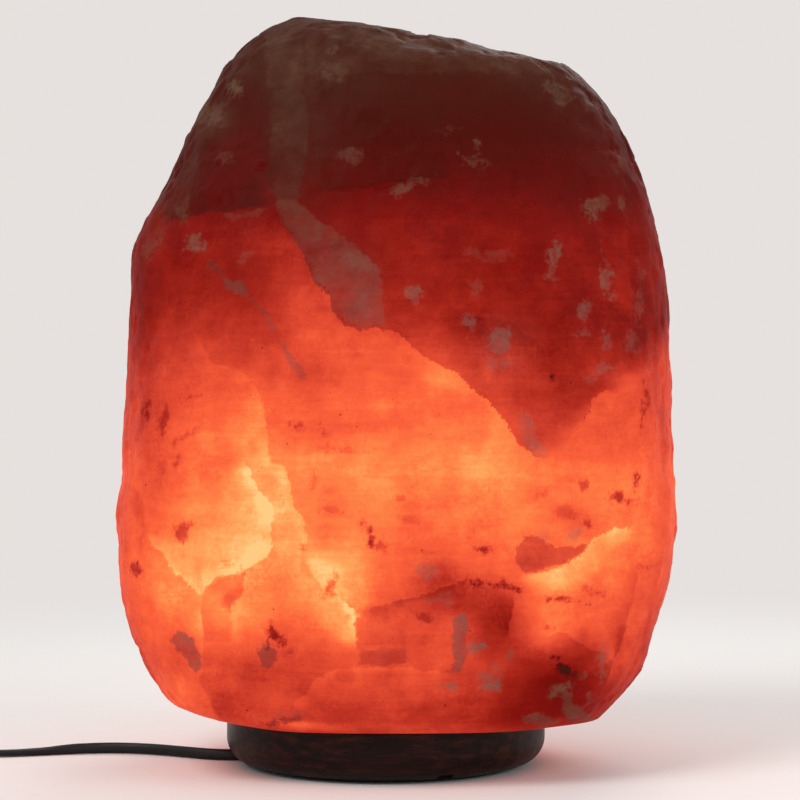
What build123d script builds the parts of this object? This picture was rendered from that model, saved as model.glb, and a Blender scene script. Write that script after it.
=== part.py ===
from build123d import *

import os
from math import cos, pi, radians, sin, sqrt, tan

# Salt crystal lamp: a bored rock-salt crystal screwed to a turned wooden base, lit by a
# candle bulb in a lamp holder that clips into the base from below, with a black cord,
# an in-line dimmer with a thumbwheel, and a two-pin plug.
# Millimetres, +Z up. The floor is Z = 0, the axis of the wooden base is X = Y = 0, and the
# front of the lamp faces -Y. The cord leaves to -X.

# ---- wooden base and the felt ring under it ----
felt_thickness = 2.0
felt_outer_radius = 70.0
felt_inner_radius = 50.0
base_thickness = 27.0
base_radius = 85.7
base_underside_radius = 76.0
base_belly_height = 13.0
base_top_round = 2.5
base_hole_radius = 22.0
groove_width = 8.0
groove_depth = 8.0
groove_heading = 176.6  # degrees from +X, seen from above
chip_heading = -67.0  # a small chip is broken out of the lower rim
chip_length = 8.0
chip_height = 3.2
chip_depth = 2.4

# ---- crystal ----
crystal_sides = 16
crystal_squareness = 0.78  # 1 is an ellipse, less is squarer
crystal_roughness = 0.035
cavity_radius = 30.0
cavity_room = 24.4  # over the bulb when it is fully raised
# rings from the sawn seat upwards: height above the seat at the axis, tilt (rise per mm of
# X), and how far the rock reaches to the left, right, front and back of the axis
crystal_rings = [
    (0.0, 0.0, 92.0, 116.0, 98.0, 94.0),
    (8.0, 0.0, 115.0, 125.0, 106.0, 100.0),
    (27.0, 0.0, 130.0, 139.0, 112.0, 106.0),
    (49.0, 0.0, 137.5, 145.5, 116.0, 110.0),
    (76.0, 0.0, 143.0, 152.5, 118.0, 112.0),
    (103.0, 0.0, 144.0, 156.0, 117.0, 112.0),
    (136.0, 0.0, 142.0, 155.0, 115.0, 110.0),
    (178.0, 0.0, 140.0, 153.5, 112.0, 108.0),
    (222.0, 0.0, 137.0, 151.5, 108.0, 104.0),
    (253.0, 0.0, 134.0, 146.5, 102.0, 98.0),
    (286.0, 0.0, 117.0, 138.0, 93.0, 90.0),
    (316.0, 0.0, 102.5, 125.0, 82.0, 80.0),
    (341.0, 0.0, 90.0, 106.0, 68.0, 66.0),
    (353.0, -0.10, 71.0, 97.0, 55.0, 53.0),
    (362.0, -0.18, 50.0, 66.0, 38.0, 36.0),
]
# the upper front is one great broken face that stands proud of the rock below it: X and Z
# of its lower edge, and how its height runs out upwards
face_edge = [
    (-58.0, 293.0),
    (-41.0, 259.0),
    (-18.0, 230.5),
    (1.0, 230.0),
    (40.0, 203.0),
    (67.0, 174.5),
    (84.0, 162.0),
    (94.0, 181.0),
    (104.0, 194.0),
    (122.0, 198.0),
]
face_rise = 3.6
face_runout = 305.0  # height above the seat where it ends
face_slope = 0.042
face_retreat = 1.0  # how far it stays inside the rock's left and right reach

# ---- screws that hold the crystal ----
screw_count = 3
screw_circle_radius = 58.0
screw_first_angle = 30.0
screw_shank_radius = 2.2
screw_head_radius = 4.4
screw_head_height = 2.8
screw_length = 48.0
screw_sinking = 9.0  # depth of the counterbore in the base's underside
screw_slot_width = 1.2
plug_length = 32.0
plug_radius = 4.0
close_fit = 0.15  # gap between a pin and its hole, or between two nested shells

# ---- lamp holder ----
holder_recess = 18.0  # the cap's underside above the base's underside
holder_radius = 14.0
holder_wall = 1.8
cap_height = 16.0
cap_floor = 2.2
spigot_height = 4.0
spigot_wall = 1.4
body_height = 32.0
body_mouth_radius = 9.0
block_height = 5.8
contact_thickness = 0.4
shell_bore_radius = 7.15
thread_depth = 0.45
thread_pitch = 2.82
shell_threads = 7
shell_wall = 0.35
terminal_offset = 8.0
terminal_radius = 1.5
terminal_drop = 1.6
grub_radius = 1.2
wire_radius = 0.9

# ---- spring clip ----
clip_thickness = 0.8
clip_width = 11.0
clip_gap = 0.3  # between the clip's bow and the base's hole
clip_rise = 30.0
clip_bow_height = 8.5
clip_bend = 2.0
clip_screw_offset = 6.8
clip_screw_radius = 1.2
clip_head_radius = 2.3
clip_head_height = 1.4
grip_width = 7.0
grip_length = 18.0
grip_height = 4.0

# ---- bulb, clear candle on a small Edison cap ----
bulb_tip_gap = 2.0  # from the contact block to the bulb's tip
bulb_tip_radius = 2.4
bulb_tip_height = 1.5
insulator_height = 3.0
cap_crest_radius = 6.93
cap_thread_depth = 0.7
cap_threads = 5
cap_skirt = 6.5
cap_wall = 0.25
glass_neck_radius = 5.8
glass_neck_length = 13.0
glass_radius = 17.5
glass_length = 71.5
glass_wall = 0.8
stem_radius = 2.2
stem_length = 27.0
lead_radius = 0.35
lead_spread = 7.5
lead_rise = 15.0
filament_radius = 0.5
bulb_travel = 26.0  # how far the bulb rises as it is unscrewed

# ---- cord ----
cord_radius = 2.5
coil_lift = 3.6  # height of the lowest turns' centre line
coil_pitch = 5.6  # between turns beside and above each other
coil_middle_radius = 30.0
coil_turns_in = 7  # half turns that spiral inwards in the lower layer
coil_turns_out = 6  # half turns that spiral outwards in the upper layer
coil_centre = (-345.0, -53.0)
coil_end_straight = 5.0
coil_outer_radius = coil_middle_radius + coil_turns_in * coil_pitch / 4
coil_start_x = coil_centre[0] - coil_outer_radius
tie_width = 8.0
tie_thickness = 0.7

# ---- dimmer ----
dimmer_centre = (-338.0, 42.0)
dimmer_length = 84.0
dimmer_width = 32.0
dimmer_height = 20.0
dimmer_wall = 2.0
dimmer_corner = 6.0
dimmer_edge = 1.5
bush_length = 6.0
bush_radius = 4.0
bush_neck_radius = 2.6
bush_flange = 1.4
wheel_radius = 12.0
wheel_thickness = 3.6
wheel_centre = (6.0, 7.0)
wheel_ridges = 20
wheel_clearance = 0.6
shaft_radius = 3.0
shaft_fit = 0.05
pot_radius = 6.3
board_length = 60.0
board_width = 26.0
board_thickness = 1.6
board_seat = 1.2
case_screw_place = (34.5, 9.5)
case_screw_radius = 1.2
case_boss_radius = 3.0
case_head_radius = 2.2
case_head_height = 1.4
triac_size = (10.0, 4.4, 9.0)
triac_place = (-23.0, 6.0)
capacitor_size = (13.0, 6.0, 10.0)
capacitor_place = (-12.0, -6.0)
choke_place = (22.0, -5.0)
choke_radius = 5.0
choke_winding_radius = 2.2

# ---- plug, flat two-pin ----
plug_y = coil_centre[1] - coil_outer_radius  # in line with the coil's outermost turn
plug_back_x = -287.0
plug_body_length = 37.0
plug_body_width = 35.3
plug_back_width = 18.0
plug_body_height = 13.7
plug_corner = 3.0
plug_boot_length = 14.0
plug_boot_radius = 4.2
pin_radius = 2.0
pin_length = 19.0
pin_spacing = 18.6
pin_root = 7.0  # how deep the pins sit in the body
pin_neck_radius = 1.5
pin_sleeve_length = 10.0
pin_foot = 0.5  # the sleeve starts thinner by the body
pin_foot_wall = 0.2

base_underside = felt_thickness
base_top = base_underside + base_thickness
holder_bottom = base_underside + holder_recess
cap_top = holder_bottom + cap_height
block_bottom = cap_top + spigot_height + close_fit
block_top = block_bottom + block_height
shell_bottom = block_top + contact_thickness
holder_top = cap_top + body_height
bulb_tip_bottom = block_top + bulb_tip_gap
cap_bottom = bulb_tip_bottom + bulb_tip_height + insulator_height
cap_top_edge = cap_bottom + cap_threads * thread_pitch + cap_skirt
glass_bottom = cap_top_edge - glass_neck_length
glass_top = cap_top_edge + glass_length
cavity_height = glass_top + bulb_travel + cavity_room - base_top
dimmer_middle = dimmer_height / 2

# the cord's route, by hand: down from the holder and along the groove, over the floor to
# the dimmer, and on to the coil and the plug
cord_turn_height = 5.0
cord_groove_end = 76.0
cord_first_run = 16.0
groove_fall = 0.021  # how far the cord sinks per mm along the groove


def along_groove(distance):
    """A point on the cord's centre line in the groove, at a distance from the base's axis."""
    heading = radians(groove_heading)
    height = cord_turn_height - groove_fall * distance
    return (distance * cos(heading), distance * sin(heading), height)


base_route = [
    (0.0, 0.0, holder_bottom + cap_floor + grip_height),
    (0.0, 0.0, cord_turn_height),
    along_groove(cord_groove_end),
]
lamp_route = [
    along_groove(cord_groove_end),
    along_groove(cord_groove_end + cord_first_run),
    (-110.0, 15.5, 3.0),
    (-129.0, 26.5, 3.0),
    (-150.0, 31.5, 3.0),
    (-177.0, 28.5, 2.8),
    (-205.0, 19.0, 2.6),
    (-230.0, 16.5, 2.6),
    (-248.0, 24.0, 3.6),
    (-263.0, 36.0, 6.3),
    (-278.0, dimmer_centre[1], dimmer_middle),
    (dimmer_centre[0] + dimmer_length / 2 + bush_length, dimmer_centre[1], dimmer_middle),
]
dimmer_route = [
    (dimmer_centre[0] - dimmer_length / 2 - bush_length, dimmer_centre[1], dimmer_middle),
    (-400.0, dimmer_centre[1], dimmer_middle),
    (-412.0, 33.0, 8.0),
    (-416.0, 17.0, 5.8),
    (-411.0, 2.0, 4.4),
    (-401.0, -12.0, 3.6),
    (-391.0, -24.0, 3.6),
    (coil_start_x, -37.0, coil_lift),
    (coil_start_x, coil_centre[1] + coil_end_straight, coil_lift),
]

pieces = {}


def turned(points):
    """A solid of revolution about Z from an outline of (radius, height) points."""
    outline = Polyline(*[(radius, 0, height) for radius, height in points], close=True)
    return revolve(make_face(outline), Axis.Z, 360)


def ring(outer, inner, bottom, height):
    """A plain tube or washer about Z."""
    return Pos(0, 0, bottom) * (
        extrude(Circle(outer), height) - extrude(Circle(inner), height)
    )


def rod(radius, bottom, height):
    """A plain cylinder about Z, from its lower end."""
    return Pos(0, 0, bottom) * extrude(Circle(radius), height)


def around(shape, count, first_angle, radius):
    """Copies of a shape, spread evenly on a circle about Z."""
    step = 360 / count
    return [Rot(0, 0, first_angle + step * i) * Pos(radius, 0, 0) * shape for i in range(count)]


def bend_radii(points):
    """For each corner of a route, 0.45 of its shorter run over the tangent of half its turn."""
    radii = []
    for before, here, after in zip(points, points[1:], points[2:]):
        run_in, run_out = Vector(*here) - Vector(*before), Vector(*after) - Vector(*here)
        half_turn = radians(run_in.get_angle(run_out)) / 2
        radii.append(0.45 * min(run_in.length, run_out.length) / tan(half_turn))
    return radii


def tube_along(path, radius, name):
    """A round tube along a path; prints its volume over its section times its length."""
    section = Plane(origin=path @ 0, z_dir=path % 0) * Circle(radius)
    tube = sweep(section, path=path)
    share = tube.volume / (pi * radius**2 * path.length)
    print(f"{name}: {path.length:.1f} mm long, volume share {share:.4f}")
    return tube


def tube(points, radius, name, radii=None):
    """A tube of straight runs joined by tangent arcs."""
    radii = radii or bend_radii(points)
    print(f"{name}: radii {[round(r, 1) for r in radii]}")
    return tube_along(FilletPolyline(*points, radius=radii), radius, name)


def bent_strip(points, bend, width, thickness, across):
    """A flat strip, bent at its corners; across is the direction of its width."""
    path = FilletPolyline(*points, radius=bend)
    section = Plane(origin=path @ 0, x_dir=across, z_dir=path % 0) * Rectangle(width, thickness)
    return sweep(section, path=path)


def zigzag(radius, depth, pitch, count, bottom):
    """The points of a thread's outline: crests at radius, roots deeper by depth."""
    points = [(radius - depth, bottom)]
    for i in range(count):
        points.append((radius, bottom + (i + 0.5) * pitch))
        points.append((radius - depth, bottom + (i + 1) * pitch))
    return points


# ---------------------------------------------------------------- crystal and base


def crystal_ring(number, proud):
    """The corner points of one ring of the rock, or of its proud form for the great face."""
    height, tilt, left, right, front, back = crystal_rings[number]
    if proud:
        left, right = left - face_retreat, right - face_retreat
        front += min(face_rise, face_slope * (face_runout - height))
    points = []
    for side in range(crystal_sides):
        angle = 2 * pi * side / crystal_sides
        along, across = cos(angle), sin(angle)
        x = (right if along > 0 else left) * abs(along) ** crystal_squareness
        y = (back if across > 0 else front) * abs(across) ** crystal_squareness
        wobble = sin(3.1 * side + 1.3 * number) + 0.6 * sin(1.7 * side - 2.3 * number)
        swell = 1 + crystal_roughness * wobble * across**2
        x = x * swell * (1 if along > 0 else -1)
        y = y * swell * (1 if across > 0 else -1)
        points.append(Vector(x, y, base_top + height + tilt * x))
    return points


def triangle(a, b, c):
    return Face(Wire.make_polygon([a, b, c], close=True))


def rock(proud=False):
    """The rock as a closed skin of flat facets between its rings."""
    rings = [crystal_ring(i, proud) for i in range(len(crystal_rings))]
    faces = []
    for number, (low, high) in enumerate(zip(rings, rings[1:])):
        for side in range(crystal_sides):
            after = (side + 1) % crystal_sides
            a, b, c, d = low[side], low[after], high[after], high[side]
            if (side + number) % 2:
                faces += [triangle(a, b, c), triangle(a, c, d)]
            else:
                faces += [triangle(a, b, d), triangle(b, c, d)]
    for end in (rings[0], rings[-1]):
        faces.append(Face(Wire.make_polygon(end, close=True)))
    return Solid(Shell(faces))


def great_face():
    """The part of the proud rock above the broken edge, front half only."""
    first, last = face_edge[0], face_edge[-1]
    reach, top = 2 * last[0], base_top + crystal_rings[-1][0]
    outline = [*face_edge, (reach, last[1]), (reach, top), (first[0], top)]
    window = make_face(Polyline(*[(x, 0, z) for x, z in outline], close=True))
    return rock(proud=True) & extrude(window, amount=reach, dir=(0, -1, 0))


def salt_crystal():
    """The rock, with the bulb's cavity and the screw plugs' holes bored from its seat."""
    dome = cavity_radius
    cavity = rod(cavity_radius, base_top - 1, cavity_height - dome + 1)
    cavity += Pos(0, 0, base_top + cavity_height - dome) * Sphere(dome)
    crystal = rock() + great_face() - cavity
    for hole in screw_places(rod(plug_radius, base_top - 1, plug_length + 2)):
        crystal -= hole
    return crystal


def screw_places(shape):
    return around(shape, screw_count, screw_first_angle, screw_circle_radius)


def groove():
    """The cord's groove, open below, from the base's hole out through its rim."""
    length = base_radius + 5
    cutter = Pos(length / 2, 0, base_underside + groove_depth / 2 - 1) * Box(
        length, groove_width, groove_depth + 2
    )
    return Rot(0, 0, groove_heading) * cutter


def wooden_base():
    """A turned disc with a rounded belly, a centre hole, a cord groove and counterbores."""
    with BuildPart() as disc:
        with BuildSketch(Plane.XZ):
            with BuildLine():
                Line((base_hole_radius, 0), (base_underside_radius, 0))
                TangentArc(
                    (base_radius, base_belly_height), (base_underside_radius, 0), tangent=(0, -1)
                )
                Line((base_radius, base_belly_height), (base_radius, base_thickness - base_top_round))
                Line(
                    (base_radius, base_thickness - base_top_round),
                    (base_radius - base_top_round, base_thickness),
                )
                Line((base_radius - base_top_round, base_thickness), (base_hole_radius, base_thickness))
                Line((base_hole_radius, base_thickness), (base_hole_radius, 0))
            make_face()
        revolve(axis=Axis.Z)
    base = Pos(0, 0, base_underside) * disc.part
    chip = Rot(0, 35, 8) * Box(3 * chip_depth, chip_length, 2 * chip_height)
    chip = Pos(base_underside_radius + chip_depth, 0, base_underside) * chip
    base -= Rot(0, 0, chip_heading) * chip
    base -= groove()
    hole = rod(screw_shank_radius + close_fit, base_underside - 1, base_thickness + 2)
    hole += rod(screw_head_radius + 2 * close_fit, base_underside - 1, screw_sinking + 1)
    for cutter in screw_places(hole):
        base -= cutter
    return base


def felt_ring():
    """A felt ring glued under the base, cut through at the groove and at the screws."""
    felt = ring(felt_outer_radius, felt_inner_radius, 0, felt_thickness) - groove()
    hole = rod(screw_head_radius + 2 * close_fit, -1, felt_thickness + 2)
    for cutter in screw_places(hole):
        felt -= cutter
    return felt


def crystal_screws():
    """Wood screws, heads in the base's counterbores and tips in the crystal's plugs."""
    head_bottom = base_underside + screw_sinking - screw_head_height
    tip = head_bottom + screw_length
    screw = turned(
        [
            (0, head_bottom),
            (screw_head_radius, head_bottom),
            (screw_head_radius, head_bottom + screw_head_height - 0.01),
            (screw_shank_radius, head_bottom + screw_head_height),
            (screw_shank_radius, tip - 6),
            (0, tip),
        ]
    )
    for turn in (0, 90):
        slot = Box(2 * screw_head_radius * 0.7, screw_slot_width, screw_head_height)
        screw -= Pos(0, 0, head_bottom) * Rot(0, 0, turn) * slot
    return screw_places(screw)


def screw_plugs():
    """Nylon plugs, set in the crystal."""
    outer = plug_radius - close_fit
    plug = ring(outer, screw_shank_radius + close_fit, base_top, plug_length - 1)
    return screw_places(plug)


# ---------------------------------------------------------------- lamp holder


def holder_cap():
    """The holder's cup-shaped lower half, with its spigot and the holes in its floor."""
    outer, inner = holder_radius, holder_radius - holder_wall
    spigot = inner - close_fit
    cap = turned(
        [
            (0, holder_bottom),
            (outer, holder_bottom),
            (outer, cap_top),
            (spigot, cap_top),
            (spigot, cap_top + spigot_height),
            (spigot - spigot_wall, cap_top + spigot_height),
            (spigot - spigot_wall, holder_bottom + cap_floor),
            (0, holder_bottom + cap_floor),
        ]
    )
    cap -= rod(cord_radius + close_fit, holder_bottom - 1, cap_floor + 2)
    for side in (-1, 1):
        cap -= Pos(0, side * clip_screw_offset, 0) * rod(
            clip_screw_radius + close_fit, holder_bottom - 1, cap_floor + 2
        )
    return cap


def holder_body():
    """The holder's upper half: a tube with an inward rim at the lamp's mouth."""
    inner = holder_radius - holder_wall
    return turned(
        [
            (inner, cap_top),
            (holder_radius, cap_top),
            (holder_radius, holder_top - 1),
            (holder_radius - 1, holder_top),
            (body_mouth_radius, holder_top),
            (body_mouth_radius, holder_top - holder_wall),
            (inner, holder_top - holder_wall),
        ]
    )


def contact_block():
    """The heat-proof disc that carries the contacts, the terminals and the thread shell."""
    block = rod(holder_radius - holder_wall - close_fit, block_bottom, block_height)
    for side in (-1, 1):
        block -= Pos(side * terminal_offset, 0, 0) * rod(
            terminal_radius + close_fit, block_bottom - 1, block_height + 2
        )
        block -= grub_place(side, extrude(Circle(grub_radius + close_fit), holder_radius))
    return block


def grub_place(side, shape):
    """Puts a shape that stands on Z = 0 beside one terminal, pointing to -Y."""
    height = block_bottom + block_height / 2
    return Pos(side * terminal_offset, -terminal_radius - close_fit, height) * Rot(90, 0, 0) * shape


def terminal_screws():
    return [grub_place(side, extrude(Circle(grub_radius), 5)) for side in (-1, 1)]


def terminals():
    """Two brass posts, which stand out below the block to take the wires."""
    post = rod(terminal_radius, block_bottom - terminal_drop, block_height + terminal_drop)
    return [Pos(side * terminal_offset, 0, 0) * post for side in (-1, 1)]


def shell_contact():
    """A brass washer under the thread shell, with a tab on one terminal."""
    outer = shell_bore_radius + thread_depth + shell_wall
    contact = ring(outer, outer - 2, block_top, contact_thickness)
    contact += Pos(-terminal_offset, 0, block_top + contact_thickness / 2) * Box(
        3.4, 4, contact_thickness
    )
    contact -= Pos(terminal_offset, 0, block_top) * Box(8, 6, 4)
    return contact


def centre_contact():
    """A bronze tongue from the other terminal, rising under the bulb's tip."""
    low = block_top + contact_thickness / 2
    high = bulb_tip_bottom - close_fit - contact_thickness
    points = [(terminal_offset + 1.6, 0, low), (4, 0, low), (-1.2, 0, high)]
    return bent_strip(points, 2, 4, contact_thickness, (0, 1, 0))


def screw_shell():
    """The holder's threaded brass shell."""
    inner = zigzag(shell_bore_radius + thread_depth, thread_depth, thread_pitch, shell_threads, shell_bottom)
    outer = [(radius + shell_wall, height) for radius, height in reversed(inner)]
    return turned(inner + outer)


def supply_wires():
    """The cord's two cores, from its end in the cap up to the terminals."""
    start = base_route[0][2] + close_fit
    end = block_bottom - terminal_drop - close_fit
    cores = []
    for side in (-1, 1):
        points = [
            (side * 1.3, 0, start),
            (side * 1.3, 0, start + 3),
            (side * terminal_offset, 0, end - 3),
            (side * terminal_offset, 0, end),
        ]
        cores.append(tube(points, wire_radius, "supply wire", [2.0, 2.0]))
    return cores


def cord_grip():
    """The bar in the cap that grips the cord; the clip's screws pull it down."""
    bottom = holder_bottom + cap_floor
    grip = Pos(0, 0, bottom + grip_height / 2) * Box(grip_width, grip_length, grip_height)
    grip -= rod(cord_radius + close_fit / 3, bottom - 1, grip_height + 2)
    for side in (-1, 1):
        grip -= Pos(0, side * clip_screw_offset, 0) * rod(
            clip_screw_radius + close_fit / 3, bottom - 1, grip_height
        )
    return grip


def spring_clip():
    """A strip of spring steel under the cap, whose two arms bow out against the base's hole."""
    middle = clip_thickness / 2
    low = holder_bottom - middle
    bow = sqrt((base_hole_radius - clip_gap) ** 2 - (clip_width / 2) ** 2) - middle
    arm = holder_radius + 1.2 + middle
    half = [
        (0, arm, low),
        (0, arm + 1.2, low + 3),
        (0, bow, low + clip_bow_height),
        (0, arm, low + clip_rise),
    ]
    points = [(x, -y, z) for x, y, z in reversed(half)] + half
    clip = bent_strip(points, clip_bend, clip_width, clip_thickness, (1, 0, 0))
    clip -= rod(cord_radius + 1, holder_bottom - 5, 10)
    for side in (-1, 1):
        clip -= Pos(0, side * clip_screw_offset, 0) * rod(
            clip_screw_radius + close_fit, holder_bottom - 5, 10
        )
    return clip


def clip_screws():
    """Two screws, from below through the clip and the cap's floor into the grip."""
    head_top = holder_bottom - clip_thickness
    reach = clip_thickness + cap_floor + grip_height - 1.5
    screw = rod(clip_head_radius, head_top - clip_head_height, clip_head_height)
    screw += rod(clip_screw_radius, head_top, reach)
    screw -= Pos(0, 0, head_top - clip_head_height) * Box(5, 0.6, 1)
    return [Pos(0, side * clip_screw_offset, 0) * screw for side in (-1, 1)]


# ---------------------------------------------------------------- bulb


def bulb_cap():
    """The bulb's thin brass cap: a threaded part and a plain skirt."""
    outer = zigzag(cap_crest_radius, cap_thread_depth, thread_pitch, cap_threads, cap_bottom)
    skirt = cap_crest_radius - cap_thread_depth
    outer += [(skirt, cap_top_edge)]
    inner = [(radius - cap_wall, height) for radius, height in reversed(outer)]
    return turned(outer + inner)


def bulb_insulator():
    """The black glass between the cap and its tip."""
    top = cap_crest_radius - cap_thread_depth - close_fit
    bottom = bulb_tip_bottom + bulb_tip_height
    return turned([(0, bottom), (bulb_tip_radius + 0.6, bottom), (top, cap_bottom), (0, cap_bottom)])


def bulb_tip():
    return rod(bulb_tip_radius, bulb_tip_bottom, bulb_tip_height)


def candle(neck_radius, radius, bottom, top):
    """A solid candle shape: a straight neck, a swelling, and a drawn-out point."""
    rise = top - cap_top_edge
    with BuildPart() as shape:
        with BuildSketch(Plane.XZ):
            with BuildLine():
                Line((0, bottom), (neck_radius, bottom))
                Line((neck_radius, bottom), (neck_radius, cap_top_edge + 0.5))
                Spline(
                    (neck_radius, cap_top_edge + 0.5),
                    (radius * 0.86, cap_top_edge + rise * 0.22),
                    (radius, cap_top_edge + rise * 0.42),
                    (radius * 0.68, cap_top_edge + rise * 0.74),
                    (1.0, top),
                    tangents=[(0.3, 1), (-1, 0.9)],
                )
                Line((1.0, top), (0, top))
                Line((0, top), (0, bottom))
            make_face()
        revolve(axis=Axis.Z)
    return shape.part


def bulb_glass():
    """The clear glass, open at the foot of its neck, where the stem closes it."""
    outer = candle(glass_neck_radius, glass_radius, glass_bottom, glass_top)
    inner = candle(
        glass_neck_radius - glass_wall,
        glass_radius - glass_wall,
        glass_bottom - 1,
        glass_top - 2 * glass_wall,
    )
    return outer - inner


def bulb_stem():
    """The glass stem that carries the lead wires."""
    foot = glass_neck_radius - glass_wall - close_fit
    return turned(
        [
            (0, glass_bottom),
            (foot, glass_bottom),
            (foot, glass_bottom + 1.5),
            (stem_radius, glass_bottom + 4),
            (stem_radius, glass_bottom + stem_length),
            (0, glass_bottom + stem_length),
        ]
    )


def lead_points(side):
    """Where one lead wire runs, from the stem's top to the filament's end."""
    foot = glass_bottom + stem_length
    return [
        (side * 1.2, 0, foot),
        (side * 1.2, 0, foot + 3),
        (side * lead_spread, 0, foot + lead_rise - 2),
        (side * lead_spread, 0, foot + lead_rise),
    ]


def lead_wires():
    return [tube(lead_points(side), lead_radius, "lead wire", [3.0, 1.2]) for side in (-1, 1)]


def filament():
    """The filament's outer form, from one lead wire to the other."""
    height = lead_points(1)[-1][2] + filament_radius
    half = lead_spread + lead_radius
    return Pos(-half, 0, height) * Rot(0, 90, 0) * extrude(Circle(filament_radius), 2 * half)


# ---------------------------------------------------------------- cord and coil


def cord_coil():
    """One unbroken tube: half turns inwards below, a climb, and half turns outwards above."""
    step = coil_pitch / 2
    radius = coil_outer_radius
    x, y, z = coil_start_x, coil_centre[1], coil_lift
    edges, heading = [Line((x, y + coil_end_straight, z), (x, y, z))], -1
    for _ in range(coil_turns_in):
        middle = (x - heading * radius, y + heading * radius, z)
        end = (x - heading * 2 * radius, y, z)
        edges.append(ThreePointArc((x, y, z), middle, end))
        x, heading, radius = end[0], -heading, radius - step
    crown = sqrt(radius**2 + (coil_pitch / 2) ** 2)
    middle = (x - heading * radius, y + heading * crown, z + coil_pitch / 2)
    end = (x - heading * 2 * radius, y, z + coil_pitch)
    edges.append(TangentArc((x, y, z), middle, tangent=(0, heading, 0)))
    edges.append(TangentArc(middle, end, tangent=(-heading * radius, 0, coil_pitch / 2)))
    x, z, heading = end[0], z + coil_pitch, -heading
    for _ in range(coil_turns_out):
        radius += step
        middle = (x - heading * radius, y + heading * radius, z)
        end = (x - heading * 2 * radius, y, z)
        edges.append(ThreePointArc((x, y, z), middle, end))
        x, heading = end[0], -heading
    radius += step
    lean = radius * sqrt(0.5)
    middle = (x + radius - lean, y - lean, z)
    end = (x + radius, y - radius, z)
    edges.append(ThreePointArc((x, y, z), middle, end))
    edges.append(Line(end, (end[0] + coil_end_straight, end[1], z)))
    path = Wire(edges)
    print_least_gap(path)
    return tube_along(path, cord_radius, "cord coil"), (end[0] + coil_end_straight, end[1], z)


def print_least_gap(path):
    """Prints the coil's least gap to itself, between points over three diameters apart."""
    count = 1200
    points = [path @ (i / count) for i in range(count + 1)]
    apart = int(6 * cord_radius / path.length * count) + 1
    least = min(
        (points[i] - points[j]).length
        for i in range(0, count + 1, 2)
        for j in range(i + apart, count + 1)
    )
    print(f"cord coil: least gap to itself {least - 2 * cord_radius:.2f} mm")


def coil_tie():
    """A flat band round the bundle of turns, on the far side of the coil."""
    step = coil_pitch / 2
    outer_radius = coil_outer_radius - step
    inner_radius = coil_outer_radius - coil_turns_in * step
    width = outer_radius - inner_radius + 2 * cord_radius + 1.0
    height = coil_lift + coil_pitch + cord_radius - tie_thickness + 0.4
    bundle = Pos(0, 0, tie_thickness + height / 2) * Box(tie_width + 2, width, height)
    band = Pos(0, 0, tie_thickness + height / 2) * Box(
        tie_width, width + 2 * tie_thickness, height + 2 * tie_thickness
    )
    middle = coil_centre[1] + (outer_radius + inner_radius) / 2
    return Pos(coil_centre[0] + step, middle, 0) * (band - bundle)


# ---------------------------------------------------------------- dimmer


def in_dimmer(shape):
    """Places a shape from the dimmer's own frame; its wheel side faces the lamp's front."""
    return Pos(*dimmer_centre, 0) * Rot(0, 0, 180) * shape


def dimmer_shell(bottom, height, floor_bottom):
    """One half of the case, before its holes: a tray with its floor at floor_bottom."""
    outline = RectangleRounded(dimmer_length, dimmer_width, dimmer_corner)
    inside = RectangleRounded(
        dimmer_length - 2 * dimmer_wall,
        dimmer_width - 2 * dimmer_wall,
        dimmer_corner - dimmer_wall,
    )
    shell = Pos(0, 0, bottom) * extrude(outline, height)
    outer_face = Axis.Z if floor_bottom > bottom else -Axis.Z
    rim = shell.faces().sort_by(outer_face)[-1]
    shell = fillet(rim.edges(), dimmer_edge)
    low = bottom - 1 if floor_bottom > bottom else bottom + dimmer_wall
    return shell - Pos(0, 0, low) * extrude(inside, height - dimmer_wall + 1)


def case_openings():
    """What is cut from both halves: the two cord holes and the wheel's slot."""
    hole = Pos(-dimmer_length, 0, dimmer_middle) * Rot(0, 90, 0) * extrude(
        Circle(bush_neck_radius), 2 * dimmer_length
    )
    reach = wheel_radius + wheel_clearance
    inner_face = dimmer_width / 2 - dimmer_wall - wheel_centre[1]
    half = sqrt(reach**2 - inner_face**2) + wheel_clearance
    slot = Pos(wheel_centre[0], dimmer_width / 2, dimmer_middle) * Box(
        2 * half, 2 * dimmer_wall + 1, wheel_thickness + 2 * wheel_clearance
    )
    return hole + slot


def case_screw_places(shape):
    x, y = case_screw_place
    return [Pos(side * x, side * y, 0) * shape for side in (-1, 1)]


def dimmer_bottom():
    """The lower half, with through bosses for the screws and two rests for the board."""
    case = dimmer_shell(0, dimmer_middle, 0)
    for boss in case_screw_places(rod(case_boss_radius, 0.5, dimmer_middle - 0.5)):
        case += boss
    for x in (-board_length / 3, board_length / 3):
        case += Pos(x, 0, dimmer_wall + board_seat / 2 - 0.05) * Box(
            3, board_width - 2, board_seat + 0.1
        )
    hole = rod(case_screw_radius + close_fit, -1, dimmer_height)
    hole += rod(case_head_radius + close_fit, -1, case_head_height + 1.5)
    for cutter in case_screw_places(hole):
        case -= cutter
    return in_dimmer(case - case_openings())


def dimmer_top():
    """The upper half, with blind bosses for the screws."""
    case = dimmer_shell(dimmer_middle, dimmer_middle, dimmer_height)
    for boss in case_screw_places(rod(case_boss_radius, dimmer_middle, dimmer_middle - 0.5)):
        case += boss
    hole = rod(case_screw_radius + close_fit, dimmer_middle - 1, 7)
    for cutter in case_screw_places(hole):
        case -= cutter
    return in_dimmer(case - case_openings())


def dimmer_screws():
    screw = rod(case_head_radius, 0.5, case_head_height)
    screw += rod(case_screw_radius, 0.5 + case_head_height, dimmer_middle + 3)
    screw -= Pos(0, 0, 0.5) * Box(5, 0.6, 1)
    return [in_dimmer(place) for place in case_screw_places(screw)]


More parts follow.
